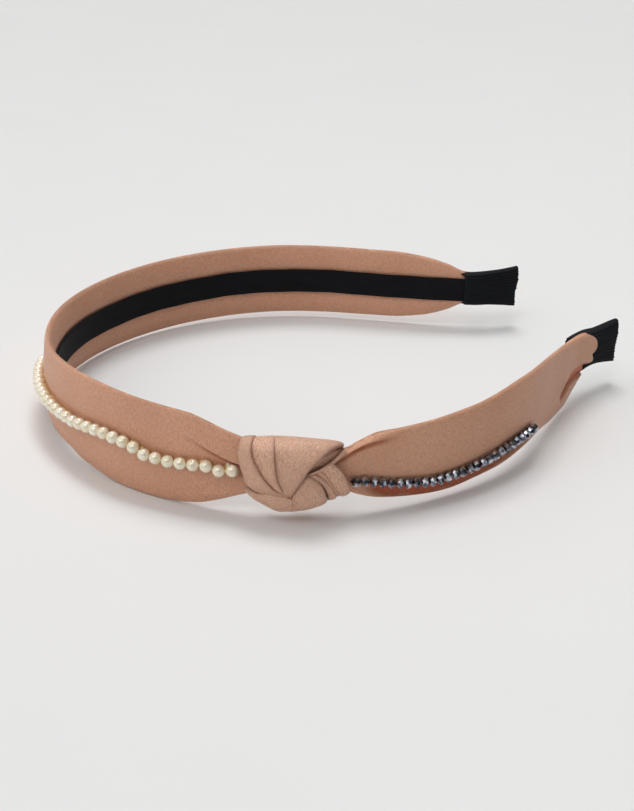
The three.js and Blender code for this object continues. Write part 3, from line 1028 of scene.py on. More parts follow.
@dataclass
class Sleeve(ABC):
    """A flat tube of satin round the hoop. Subclasses give its outline and its folds."""

    name: str
    start: float
    end: float
    wall: float = 0.36
    step: float = 0.8
    outer_columns: int = 76
    inner_columns: int = 26
    tail: float = 14.0
    edge_power: float = 2.7
    edge_hold: float = 1.6
    pillow: float = 0.45
    pillow_middle: float = 0.62
    pillow_half: float = 0.36
    fold_gap: float = 0.2
    over_core: float = 1.05
    core_side: Tuple[float, float] = (3.6, 4.4)
    core_drop: float = 3.0
    # Dips in the outer face get painted shade, starting at the first depth and full over the
    # second.
    hollow_from: float = 0.3
    hollow_depth: float = 1.5
    inner_cloth_shift: float = 100.0
    turned_in: float = 1.0

    @abstractmethod
    def top(self, along: Array) -> Array:
        """Height of the upper edge."""

    @abstractmethod
    def bottom(self, along: Array) -> Array:
        """Height of the lower edge."""

    @abstractmethod
    def outer(self, along: Array) -> Array:
        """How far the outer face stands out, without its folds."""

    @abstractmethod
    def inner(self, along: Array) -> Array:
        """How far the inner face stands out, which is a negative distance."""

    @abstractmethod
    def folds(self, along: Array, up: Array, share: Array) -> Array:
        """How far folds move the outer face.

        Args:
            along: Distances along the hoop.
            up: Heights.
            share: Height as a share of the half width, from -1 to 1.

        Returns:
            Distances outward.
        """

    @abstractmethod
    def end_line(self, up: Array) -> Array:
        """How far past the tube's end the outer face reaches, at each height."""

    def inner_puff(self, share: Array) -> Array:
        """How far the inner face pillows beside the ribbon."""
        return -self.pillow * hump(np.abs(share), self.pillow_middle, self.pillow_half)

    def spread(self, count: int) -> Array:
        """Shares from -1 to 1 that are closer together near the edges."""
        even = np.linspace(-1, 1, count + 1)
        return 0.45 * even + 0.55 * np.sin(even * math.pi / 2)

    def face(self, shares: Array, outward: bool) -> Tuple[Array, Array]:
        """Works out one face of the tube.

        Args:
            shares: Heights of its columns, as shares of the half width.
            outward: Whether it is the outer face.

        Returns:
            Its points in metres and its cloth places in millimetres.
        """
        span = self.end - self.start
        rows = int(abs(span) / self.step) + 1
        t = np.linspace(0, 1, rows)[:, None]
        along = self.start + span * t + 0 * shares[None]
        if outward:
            along = self.reach(along, shares)
        up = self.height(along, shares)
        edge = np.clip(1 - np.abs(shares) ** self.edge_power, 0, 1) ** (1 / self.edge_power)
        out, back = self.outer(along), self.inner(along)
        middle = (out + back) / 2
        at = middle + (back + self.inner_puff(shares) - middle) * edge
        lift = 0 * along
        if outward:
            lift = self.folds(along, up, shares + 0 * along)
            least = self.least_out(at, up, edge)
            at = middle + (out - middle) * edge + lift * np.minimum(1, edge * self.edge_hold)
            at = np.where(lift < 0, np.maximum(at, least), at)
        # Painted shade: dips in the outer face get a weight from 0 to 1 that darkens their colour.
        hollow = np.clip(-self.hollow_from - lift, 0, self.hollow_depth) / self.hollow_depth
        return HOOP.place(along, at, up), np.stack([along, up, hollow], axis=-1)

    def reach(self, along: Array, shares: Array) -> Array:
        """Draws the outer face's tail out to the outline of its tongue.

        Args:
            along: Distances along the hoop, up to the tube's straight end.
            shares: Heights of its columns, as shares of the half width.

        Returns:
            The distances with the tail drawn out.
        """
        over = self.end_line(self.height(along, shares)[-1])[None]
        last = ramp(np.abs(along), abs(self.end) - self.tail, abs(self.end))
        return along + math.copysign(1, self.end) * last * over

    def least_out(self, inner_face: Array, up: Array, edge: Array) -> Array:
        """Finds how far out a dip must stay, to clear the tube's inner face and the core.

        Args:
            inner_face: How far out the inner face is.
            up: Heights.
            edge: The tube's fullness, 0 at its edges and 1 in its middle.

        Returns:
            The least distances outward.
        """
        over_core = self.over_core - self.core_drop * ramp(np.abs(up), *self.core_side)
        return np.maximum(inner_face + (2 * self.wall + self.fold_gap) * edge, over_core)

    def height(self, along: Array, shares: Array) -> Array:
        """Height of each point, from the edges and its share."""
        top, bottom = self.top(along), self.bottom(along)
        return (top + bottom) / 2 + shares * (top - bottom) / 2

    def build(self, material: bpy.types.Material, body: Optional[Body],
              nodes: Sequence[str]) -> bpy.types.Object:
        """Makes the tube as a walled cloth and ties it to its body.

        Args:
            material: Its finish.
            body: Its body, or None to bend round the crown.
            nodes: CAD nodes that it stands for.

        Returns:
            The piece.
        """
        shell = Shell()
        points, cloth = self.face(self.spread(self.outer_columns), True)
        shell.add_grid(points, cloth)
        points, cloth = self.face(self.spread(self.inner_columns)[::-1], False)
        shell.add_grid(points, cloth * [1, -1, 1] + [0, self.inner_cloth_shift, 0])
        piece = thicken(shell.make(self.name, merge=1e-6), self.wall)
        dress_piece(piece, material)
        middle = np.array([(self.start + self.end) / 2])
        width = float((self.top(middle) - self.bottom(middle))[0])
        return settle(piece, body, *nodes)


def bead_row(along: Array) -> Array:
    """Finds the height of the strand of beads, which runs down from the knot and up again.

    Args:
        along: Distances along the hoop.

    Returns:
        The heights.
    """
    return smooth(along, [(80, -2.6), (82.5, -2.9), (87, -3.4), (91, -4.3), (96, -5.1),
                          (103, -5.8), (109, -5.5), (116, -4.9), (122, -4.2), (129, -3.5),
                          (137, -3.3), (142, -3.2)])


class PearlSideSleeve(Sleeve):
    """Satin from the plain tip round the crown to the knot, with the row of pearls on it."""

    def top(self, along: Array) -> Array:
        """Height of the upper edge."""
        return smooth(along, [(-188, 4.4), (-182, 4.8), (-176, 7.3), (-169, 9.2), (-160, 10.2),
                              (-100, 10.5), (-20, 10.9), (5, 12.1), (20, 12.3), (37, 11.9),
                              (45, 11.4), (49, 10.2), (53, 8.6), (57, 7.2), (62, 5.6),
                              (70, 4.8)])

    def bottom(self, along: Array) -> Array:
        """Height of the lower edge."""
        return smooth(along, [(-188, -4.4), (-182, -4.8), (-176, -7.3), (-169, -9.2),
                              (-160, -10.2), (-100, -10.5), (-20, -9.8), (3, -9.5), (10, -10.6),
                              (18, -11.3), (26, -11.9), (36, -11.9), (42, -11.6), (47, -10.9),
                              (52, -9.4), (57.5, -7.3), (63, -5.6), (70, -4.8)])

    def outer(self, along: Array) -> Array:
        """How far the outer face stands out."""
        return smooth(along, [(-189, 2.35), (-181, 2.25), (-163, 1.6), (-140, 1.5), (30, 1.5),
                              (50, 1.9), (60, 1.7), (70, 1.5)])

    def inner(self, along: Array) -> Array:
        """How far the inner face stands out."""
        return smooth(along, [(-183, -0.95), (-178, -1.3), (70, -1.3)])

    def folds(self, along: Array, up: Array, share: Array) -> Array:
        """A dip along the pearls, and folds that gather towards the knot."""
        # The pearls press a shallow dip into the cloth.
        row = smooth(along, [(-35, -0.8), (0, 0.3), (24, 1.0), (36, -0.4), (57, -0.6)])
        on_row = ramp(along, -40, -28) * ramp(along, 66, 58)
        dip = -0.32 * hump(up, row, 2.4) * on_row
        # A flap runs down into the knot, proud above its crest and creased below it.
        crest = 6.9 - 0.42 * (along - 43)
        flap = 1.5 * ramp(along, 41, 54) * ramp(up - crest, -0.28, 0.22) * hump(up, crest, 5.5)
        crease = hump(up, crest - 0.35, 0.9) * ramp(along, 43, 53)
        # A low ridge gathers from the lower edge, and the cloth sinks where it enters the knot.
        ridge_place = 0.15 * (along - 50) - 7.6
        ridge = 0.5 * hump(up, ridge_place, 1.6) * ramp(along, 46, 58)
        pit = 1.1 * hump(up, -0.3, 2.3) * ramp(along, 55.5, 58.5)
        # The whole face swells and sinks a little along the band.
        swell = 0.12 * np.sin(along * 0.11 + 0.7) * hump(np.abs(share), 0.65, 0.4)
        return dip + flap - crease + ridge - pit + swell

    def end_line(self, up: Array) -> Array:
        """A round-ended tongue that lies on the cap."""
        return 6.6 * np.sqrt(np.clip(1 - (np.abs(up) / 4.9) ** 2.4, 0, 1))


class KnotArmSleeve(Sleeve):
    """Satin from the knot to the tip, which curls under the beads and opens near the tip."""

    def top(self, along: Array) -> Array:
        """Height of the upper edge."""
        return smooth(along, [(70, 4.0), (78, 4.4), (81, 4.7), (84, 6.2), (89, 8.1), (95, 8.4),
                              (103, 8.9), (110, 9.4), (117, 9.8), (126, 10.6), (132, 11.0),
                              (141, 10.6), (154, 9.3), (164, 8.2), (172, 7.2), (180, 6.5),
                              (184, 6.0), (190, 5.4)])

    def bottom(self, along: Array) -> Array:
        """Height of the lower edge."""
        return smooth(along, [(70, -4.6), (79, -5.0), (83, -6.8), (88, -8.4), (96, -9.5),
                              (107, -10.2), (118, -9.5), (127, -9.1), (135, -8.5), (144, -8.3),
                              (157, -9.8), (167, -10.1), (174, -7.8), (179, -5.2), (182, -4.0),
                              (190, -3.8)])

    def outer(self, along: Array) -> Array:
        """How far the outer face stands out."""
        return smooth(along, [(70, 1.5), (80, 1.8), (90, 1.75), (150, 1.6), (168, 1.9),
                              (181, 2.35), (190, 2.4)])

    def inner(self, along: Array) -> Array:
        """How far the inner face stands out."""
        return smooth(along, [(70, -1.3), (178, -1.3), (183, -0.95)])

    def folds(self, along: Array, up: Array, share: Array) -> Array:
        """The fold out of the knot, the curl under the beads, and the slot at the tip."""
        # A fold comes out of the knot, proud above its crest and creased below it.
        crest = smooth(along, [(78, 2.4), (80, 3.2), (85, 5.6), (88.5, 6.4), (97, 7.2)])
        fading = ramp(along, 97, 84)
        fold = 1.1 * ramp(up - crest, -0.2, 0.25) * fading
        crease = 0.85 * hump(up, crest - 0.45, 1.0) * fading
        # The cloth curls inward under the beads, which press a small lip into it.
        row = bead_row(along)
        curl_place = row - smooth(along, [(84, 1.7), (95, 2.5), (125, 2.6), (140, 2.2)])
        curled = ramp(along, 83, 92) * ramp(along, 146, 130)
        curl = -3.0 * hump(up, curl_place, 2.6) * curled
        lip = -0.3 * hump(up, row, 1.7) * ramp(along, 81, 85) * ramp(along, 141, 136)
        # A steep-sided slot opens towards the tip.
        slot_place = smooth(along, [(160, -5.6), (163, -5.0), (167, -3.7), (171, -2.6),
                                    (177, -2.6), (182, -3.9)])
        slot = -2.9 * ramp(along, 160.5, 167) * hump(up, slot_place, 1.75) ** 0.7
        # The whole face swells and sinks a little along the band.
        swell = 0.3 * np.sin(along * 0.09 + 2.0) * hump(share, 0.3, 0.7)
        return fold - crease + curl + lip + slot + swell

    def end_line(self, up: Array) -> Array:
        """A tongue with a small notch below its middle."""
        reach = smooth(up, [(-5.0, 0.0), (-3.6, 0.0), (-2.8, 1.2), (-1.9, 2.3), (-0.8, 1.9),
                            (0.0, 1.4), (0.7, 3.0), (2.0, 3.9), (3.6, 3.6), (5.0, 2.2),
                            (6.2, -0.6)])
        return reach + 0.2


# ---------------------------------------------------------------------------------------------
# Knot
# ---------------------------------------------------------------------------------------------


def through(places: Sequence[Place], at: Array) -> Array:
    """A smooth line through chosen places on the band.

    Args:
        places: The places, as (along, out, up).
        at: Shares of the line's length, from 0 to 1.

    Returns:
        The places at those shares.
    """
    fixed = np.array(places, float)
    gaps = np.sqrt(np.linalg.norm(np.diff(fixed, axis=0), axis=1))
    knots = np.concatenate([[0], np.cumsum(gaps)]) / gaps.sum()
    ends = np.vstack([2 * fixed[0] - fixed[1], fixed, 2 * fixed[-1] - fixed[-2]])
    times = np.concatenate([[2 * knots[0] - knots[1]], knots, [2 * knots[-1] - knots[-2]]])
    slopes = (ends[2:] - ends[:-2]) / (times[2:] - times[:-2])[:, None]
    i = np.clip(np.searchsorted(knots, at, side="right") - 1, 0, len(knots) - 2)
    step = (knots[i + 1] - knots[i])[:, None]
    t = (at - knots[i])[:, None] / step
    return cubic(t, step, (fixed[i], fixed[i + 1]), (slopes[i], slopes[i + 1]))


@dataclass
class Fold:
    """One soft fold of the knot, lofted between its two edges.

    The edges are lines of places. The fold's face bulges out between them by crown, and its
    sides turn back at each edge, so that a fold on top of another leaves a real crease.
    """

    left: Sequence[Place]
    right: Sequence[Place]
    crown: float = 0.8
    thickness: float = 1.0
    rows: int = 44
    columns: int = 30
    wrinkle: float = 0.0
    wrinkle_waves: float = 19.0
    wrinkle_slant: float = 5.0
    face_power: float = 0.6
    back_power: float = 0.5
    full_width: float = 3.0
    least_fade: float = 0.15
    # Painted shade at the fold's edges, for the creases between folds.
    edge_hollow: float = 0.75
    knot_middle: Place = (70.5, 1.0, -1.0)
    flat_steps: int = 40

    def add_to(self, shell: Shell, offset: float) -> None:
        """Adds the fold's closed body.

        Args:
            shell: Where it goes.
            offset: Shift of its cloth places, in millimetres.
        """
        t = np.linspace(0, 1, self.rows)
        left, right = through(self.left, t), through(self.right, t)
        turn = np.arange(self.columns * 2) / (self.columns * 2) * math.tau
        rise = np.abs(np.sin(turn))
        share = 0.5 - 0.5 * np.cos(turn)
        lift = np.where(np.sin(turn) >= 0, rise ** self.face_power, 0)
        under = np.where(np.sin(turn) < 0, -rise ** self.back_power, 0)
        width = np.linalg.norm(right - left, axis=1)
        fade = np.clip(width / self.full_width, self.least_fade, 1)[:, None]
        waves = np.sin(share * self.wrinkle_waves + t[:, None] * self.wrinkle_slant)
        ripple = self.wrinkle * waves * hump(t, 1.0, 0.8)[:, None]
        half = self.thickness / 2
        high = ((self.crown + half) * lift + half * under) * fade + ripple * lift
        centre = left[:, None] + (right - left)[:, None] * share[None, :, None]
        places = centre + self.normals(left, right, width)[:, None] * high[..., None]
        points = HOOP.place(places[..., 0], places[..., 1], places[..., 2])
        length = np.linalg.norm(np.diff((left + right) / 2, axis=0), axis=1)
        run = np.concatenate([[0], np.cumsum(length)])[:, None]
        # The third cloth coordinate is painted shade, strongest where the fold's sides turn back at
        # its edges.
        cloth = np.stack(np.broadcast_arrays(
            offset + share * width.max(), run, self.edge_hollow * (1 - rise) ** 2), axis=-1)
        grid = shell.add_grid(points, cloth, loop=True)
        shell.close_row(grid, 0)
        shell.close_row(grid, -1)

    def normals(self, left: Array, right: Array, width: Array) -> Array:
        """Finds which way the fold's face looks, at each row.

        Args:
            left: Points of its left edge.
            right: Points of its right edge.
            width: Distances between them.

        Returns:
            Unit vectors that point away from the knot's middle.
        """
        middle = (left + right) / 2
        run = np.gradient(middle, axis=0)
        run /= np.linalg.norm(run, axis=1)[:, None] + TINY
        normal = np.cross(run, (right - left) / (width[:, None] + TINY))
        normal /= np.linalg.norm(normal, axis=1)[:, None] + TINY
        facing = np.sum(normal * (middle - np.array(self.knot_middle)), axis=1)
        return normal * (-1 if facing.mean() < 0 else 1)

    def flat_size(self) -> Tuple[float, float]:
        """Gives the fold's cut width, with its turned-in sides, and its length, in millimetres."""
        t = np.linspace(0, 1, self.flat_steps)
        left, right = through(self.left, t), through(self.right, t)
        width = np.linalg.norm(right - left, axis=1).mean()
        length = np.linalg.norm(np.diff((left + right) / 2, axis=0), axis=1).sum()
        return width + 2 * self.thickness, length


@dataclass
class Knot:
    """The satin knot: pleats and their tucked ends over the top, a roll beneath, and a fan."""

    cloth_gap: float = 20.0

    pleats: List[Fold] = field(default_factory=lambda: [
        Fold(
            [(63.9, -1.6, 4.2), (63.6, -0.6, 6.6), (63.4, 1.6, 7.1), (63.5, 4.2, 6.2),
             (63.8, 5.2, 4.4), (64.2, 5.7, 2.3), (64.8, 6.0, 0.2), (66.0, 6.1, -2.2),
             (68.2, 6.1, -4.2)],
            [(78.6, -1.6, 4.2), (80.2, -0.4, 5.2), (80.2, 1.6, 5.8), (78.5, 3.8, 6.6),
             (76.4, 5.4, 6.2), (74.3, 6.9, 4.8), (72.3, 7.7, 2.8), (71.0, 7.8, 0.4),
             (69.7, 7.4, -2.3), (68.9, 6.8, -4.2)],
            crown=0.75, thickness=0.95, columns=44, rows=64, wrinkle=0.05),
        Fold(
            [(58.9, -1.6, 4.2), (58.8, -0.6, 6.3), (58.8, 1.6, 6.7), (59.0, 3.7, 5.8),
             (59.5, 4.5, 4.1), (60.5, 5.1, 1.6), (62.0, 5.5, -0.8), (64.4, 5.7, -2.9),
             (66.6, 5.8, -3.7), (68.2, 6.0, -4.2)],
            [(65.8, -1.6, 4.4), (65.5, -0.6, 7.1), (65.2, 2.0, 7.7), (65.1, 5.1, 7.1),
             (65.3, 6.5, 5.4), (65.5, 7.3, 3.4), (65.9, 7.8, 0.8), (66.9, 7.8, -1.9),
             (68.5, 7.2, -3.9)],
            crown=0.12, thickness=0.75, columns=34),
        Fold(
            [(58.5, -1.6, 4.2), (57.9, -0.8, 6.4), (57.5, 1.5, 7.1), (57.3, 2.9, 5.6),
             (57.4, 3.6, 2.9), (58.4, 4.2, -0.1), (59.2, 4.6, -2.4), (61.0, 5.1, -3.7)],
            [(61.2, -1.6, 4.3), (60.7, -0.6, 6.9), (60.3, 2.0, 7.4), (60.3, 4.6, 6.7),
             (60.6, 5.8, 4.9), (61.7, 6.6, 2.6), (63.2, 7.2, 0.2), (65.3, 7.4, -2.2),
             (67.0, 7.2, -3.1), (68.3, 6.9, -3.8)],
            crown=0.1, thickness=0.7),
    ])
    tuck: List[Fold] = field(default_factory=lambda: [
        Fold(
            [(77.6, 0.4, 5.0), (77.2, 2.4, 5.6), (76.4, 3.8, 5.2), (74.3, 5.1, 4.2),
             (72.4, 5.8, 2.4), (70.8, 6.2, 0.6)],
            [(80.4, 0.2, 5.0), (79.8, 2.0, 5.2), (78.6, 3.1, 4.5), (76.7, 4.0, 3.2),
             (74.5, 4.8, 1.9), (71.9, 5.6, 0.8)],
            crown=-0.3, thickness=0.8),
        Fold(
            [(80.3, 0.2, 4.6), (80.2, 1.8, 5.1), (79.5, 3.1, 5.3), (78.1, 4.2, 4.3),
             (76.6, 5.2, 3.5), (74.5, 6.1, 2.4), (72.9, 6.5, 1.8), (71.3, 6.6, 0.9)],
            [(80.9, 0.2, 3.8), (80.8, 1.6, 4.1), (80.0, 2.9, 4.1), (78.5, 3.8, 3.2),
             (77.0, 4.5, 2.4), (75.0, 5.1, 1.5), (73.2, 5.7, 0.9), (71.6, 5.9, 0.3)],
            crown=0.15, thickness=0.6),
    ])
    fan: List[Fold] = field(default_factory=lambda: [
        Fold(
            [(74.3, 4.6, 1.7), (75.7, 4.8, 0.4), (77.1, 4.6, -1.9), (78.3, 4.2, -3.9),
             (79.0, 3.6, -5.1), (79.0, 2.2, -5.5), (78.6, 0.6, -5.3), (78.0, -1.5, -4.4)],
            [(77.2, 4.4, 3.4), (79.3, 4.3, 0.9), (80.4, 4.2, -1.2), (81.1, 3.9, -2.9),
             (81.5, 3.1, -4.3), (81.3, 2.0, -4.8), (80.9, 0.5, -4.9), (80.2, -1.5, -4.2)],
            crown=0.75, thickness=0.9),
        Fold(
            [(73.2, 5.0, 1.1), (75.2, 5.1, -0.6), (76.3, 4.9, -1.9), (77.3, 4.6, -3.4),
             (78.1, 4.0, -5.0), (78.0, 2.6, -5.8), (77.6, 0.6, -6.0), (76.6, -1.5, -4.6)],
            [(75.0, 4.9, 1.5), (76.0, 4.9, 0.2), (77.4, 4.7, -2.0), (78.6, 4.3, -4.0),
             (79.3, 3.7, -5.2), (79.2, 2.3, -5.6), (78.9, 0.6, -5.5), (78.4, -1.5, -4.4)],
            crown=0.8, thickness=0.9),
        Fold(
            [(71.0, 5.4, 1.3), (72.2, 5.6, 0.5), (75.0, 5.5, -1.8), (75.9, 5.2, -3.4),
             (76.5, 4.6, -4.9), (76.8, 3.5, -6.1), (76.3, 2.0, -6.8), (75.7, 0.4, -6.4),
             (75.0, -1.5, -4.8)],
            [(73.0, 5.3, 1.5), (75.4, 5.2, -0.5), (76.6, 5.0, -2.0), (77.6, 4.7, -3.5),
             (78.4, 4.1, -5.1), (78.3, 2.8, -5.9), (78.0, 1.4, -6.1), (77.7, 0.2, -5.9),
             (77.2, -1.5, -4.6)],
            crown=0.9, thickness=0.9),
    ])
    roll: List[Fold] = field(default_factory=lambda: [
        Fold(
            [(70.6, 5.6, 1.6), (69.6, 6.5, -1.6), (68.9, 6.8, -4.0), (68.5, 6.3, -6.0),
             (67.3, 5.4, -7.3), (66.4, 4.2, -8.0), (67.2, 1.8, -7.9), (68.2, -1.5, -5.0)],
            [(72.1, 5.6, 1.4), (74.8, 5.9, -1.4), (76.0, 5.5, -4.2), (76.4, 4.4, -5.7),
             (75.8, 3.4, -6.7), (74.4, 2.6, -7.3), (73.8, 1.0, -7.2), (74.4, -1.5, -5.0)],
            crown=0.85, thickness=1.2, columns=40, rows=56, wrinkle=0.06),
        Fold(
            [(59.4, 3.6, -3.5), (61.2, 4.7, -4.0), (64.3, 5.9, -3.4), (67.4, 6.5, -3.6),
             (69.2, 6.5, -4.4)],
            [(59.5, 1.8, -5.1), (61.5, 3.0, -6.3), (64.6, 4.0, -8.0), (66.5, 4.4, -8.6),
             (68.8, 4.6, -8.2)],
            crown=0.65, thickness=1.5, wrinkle=0.06),
        Fold(
            [(60.2, 1.2, -4.8), (63.0, 2.4, -6.5), (66.4, 3.2, -8.1), (70.0, 3.0, -7.9)],
            [(60.6, -1.5, -4.3), (63.4, -1.5, -5.1), (67.0, -1.5, -5.7), (71.0, -1.5, -5.6)],
            crown=0.45, thickness=1.2),
    ])

    def build(self, material: bpy.types.Material) -> None:
        """Makes the knot's pieces, each of several folds of the same cloth."""
        parts = (
            ("knot_pleats", self.pleats + self.tuck, "knot_over_wrap"),
            ("knot_fan", self.fan, "knot_side_fan"),
            ("knot_roll", self.roll, "knot_under_roll"),
        )
        for name, folds, node in parts:
            shell = Shell()
            for number, fold in enumerate(folds):
                fold.add_to(shell, self.cloth_gap * number)
            piece = shell.make(name)
            dress_piece(piece, material)
            sizes = [fold.flat_size() for fold in folds]
            area = sum(width * length for width, length in sizes)
            longest = max(length for width, length in sizes)
            area / longest * MM
            longest * MM
            settle(piece, Body.KNOT_ARM, node)


# ---------------------------------------------------------------------------------------------
# Tip caps
# ---------------------------------------------------------------------------------------------


@dataclass
class TipCap:
    """A ribbed elastic pouch on a tip, flared and wavy at its end."""

    side: int
    mouth: float
    node: str
    body: Body
    inner_mouth: float
    end: float = HOOP.arm_length + 0.4
    mouth_half: float = 4.7
    rib_count: int = 14
    rib_radius: float = 0.3
    end_half: float = 6.2
    lift: float = 0.0
    wall: float = 0.4
    rings: int = 40
    ring_points: int = 72
    ripple: float = 0.12
    wave: float = 0.25
    slant: float = 0.35
    rib_points: int = 24
    rib_slant: float = 0.3
    rib_lean: float = 0.105
    rib_sink: float = 0.55
    rib_reach: float = 0.99

    def half(self, along: Array) -> Array:
        """Half of its width."""
        return smooth(along, [(self.inner_mouth, self.mouth_half), (self.mouth + 5, 4.95),
                              (self.mouth + 11, 5.5), (self.end, self.end_half)])

    def raised(self, along: Array) -> Array:
        """How far it sits above the band's middle, which fades towards its end."""
        return self.lift * ramp(along, self.end, self.mouth)

    def out(self, along: Array) -> Array:
        """How far its outer face stands out."""
        return smooth(along, [(self.inner_mouth, 0.9), (self.mouth, 1.35), (self.end - 3, 1.3),
                              (self.end, 0.95)])

    def back(self, along: Array) -> Array:
        """How far its inner face stands out, as a negative distance."""
        return smooth(along, [(self.inner_mouth, -2.65), (self.mouth + 3, -2.6),
                              (self.mouth + 7, -1.8), (self.end - 2, -1.45), (self.end, -1.0)])

    def build(self, material: bpy.types.Material, rods: PathTree) -> None:
        """Makes the pouch and its ribs.

        Args:
            material: Their finish.
            rods: The tree that runs rods along paths.
        """
        self.build_pouch(material)
        ranks = (np.arange(self.rib_count) + 0.5) / self.rib_count * 2 - 1
        paths = [self.rib(number, rank, outward)
                 for number, rank in enumerate(ranks) for outward in (True, False)]
        lay(rods, "tip_cap_ribs_" + self.body.value, paths, Slot.CAP, self.body,
            Radius=self.rib_radius * MM, Step=0.8 * MM, Sides=8, Material=material)

    def build_pouch(self, material: bpy.types.Material) -> None:
        """Makes the pouch, whose inner wall reaches further along the band than its outer one."""
        turn = np.arange(self.ring_points) / self.ring_points * math.tau
        c, s = np.cos(turn), np.sin(turn)
        across, rise = np.sign(c) * np.abs(c) ** 0.5, np.sign(s) * np.abs(s) ** 0.42
        rows = np.linspace(0, 1, self.rings)[:, None]
        start = np.where(c < 0, self.inner_mouth, self.mouth - 1.5)
        ripple = self.ripple * np.sin(rise * math.pi * self.rib_count * 0.5)
        finish = self.end + (ripple + self.wave * np.sin(rise * 4)) + self.slant * rise
        along = start[None] + (finish - start)[None] * rows
        out, back = self.out(along), self.back(along)
        at = (out + back) / 2 + across[None] * (out - back) / 2
        up = rise[None] * self.half(along) + self.raised(along)
        shell = Shell()
        grid = shell.add_grid(HOOP.place(self.side * along, at, up),
                              np.stack([along, up], axis=-1), loop=True)
        shell.close_row(grid, -1)
        pouch = thicken(shell.make("tip_cap_pouch_" + self.body.value), self.wall)
        dress_piece(pouch, material)
        settle(pouch, self.body, self.node)

    def rib(self, number: int, rank: float, outward: bool) -> Array:
        """Draws one rib's line, sunk into the pouch.

        Args:
            number: The rib's number.
            rank: Its height, from -1 to 1.
            outward: Whether it is on the outer face.

        Returns:
            Its points in metres.
        """
        first = (self.mouth - 1.2 if outward else self.inner_mouth) + 0.25
        wavy = self.ripple * math.sin(number * 2.3) + self.wave * math.sin(rank * 4)
        line = np.linspace(first, self.end + wavy + self.rib_slant * rank, self.rib_points)
        lean = self.rib_lean * np.sin((line - first) * 0.25 + number) * (1 - abs(rank))
        edge = (1 - abs(rank) ** 6) ** (1 / 4)
        middle = (self.out(line) + self.back(line)) / 2
        face = self.out(line) if outward else self.back(line)
        sink = self.rib_radius * (self.rib_sink if outward else -self.rib_sink)
        up = rank * self.half(line) * self.rib_reach + self.raised(line) + lean
        return HOOP.place(self.side * line, middle + (face - middle) * edge - sink, up)


# ---------------------------------------------------------------------------------------------
# Pearls and beads
# ---------------------------------------------------------------------------------------------


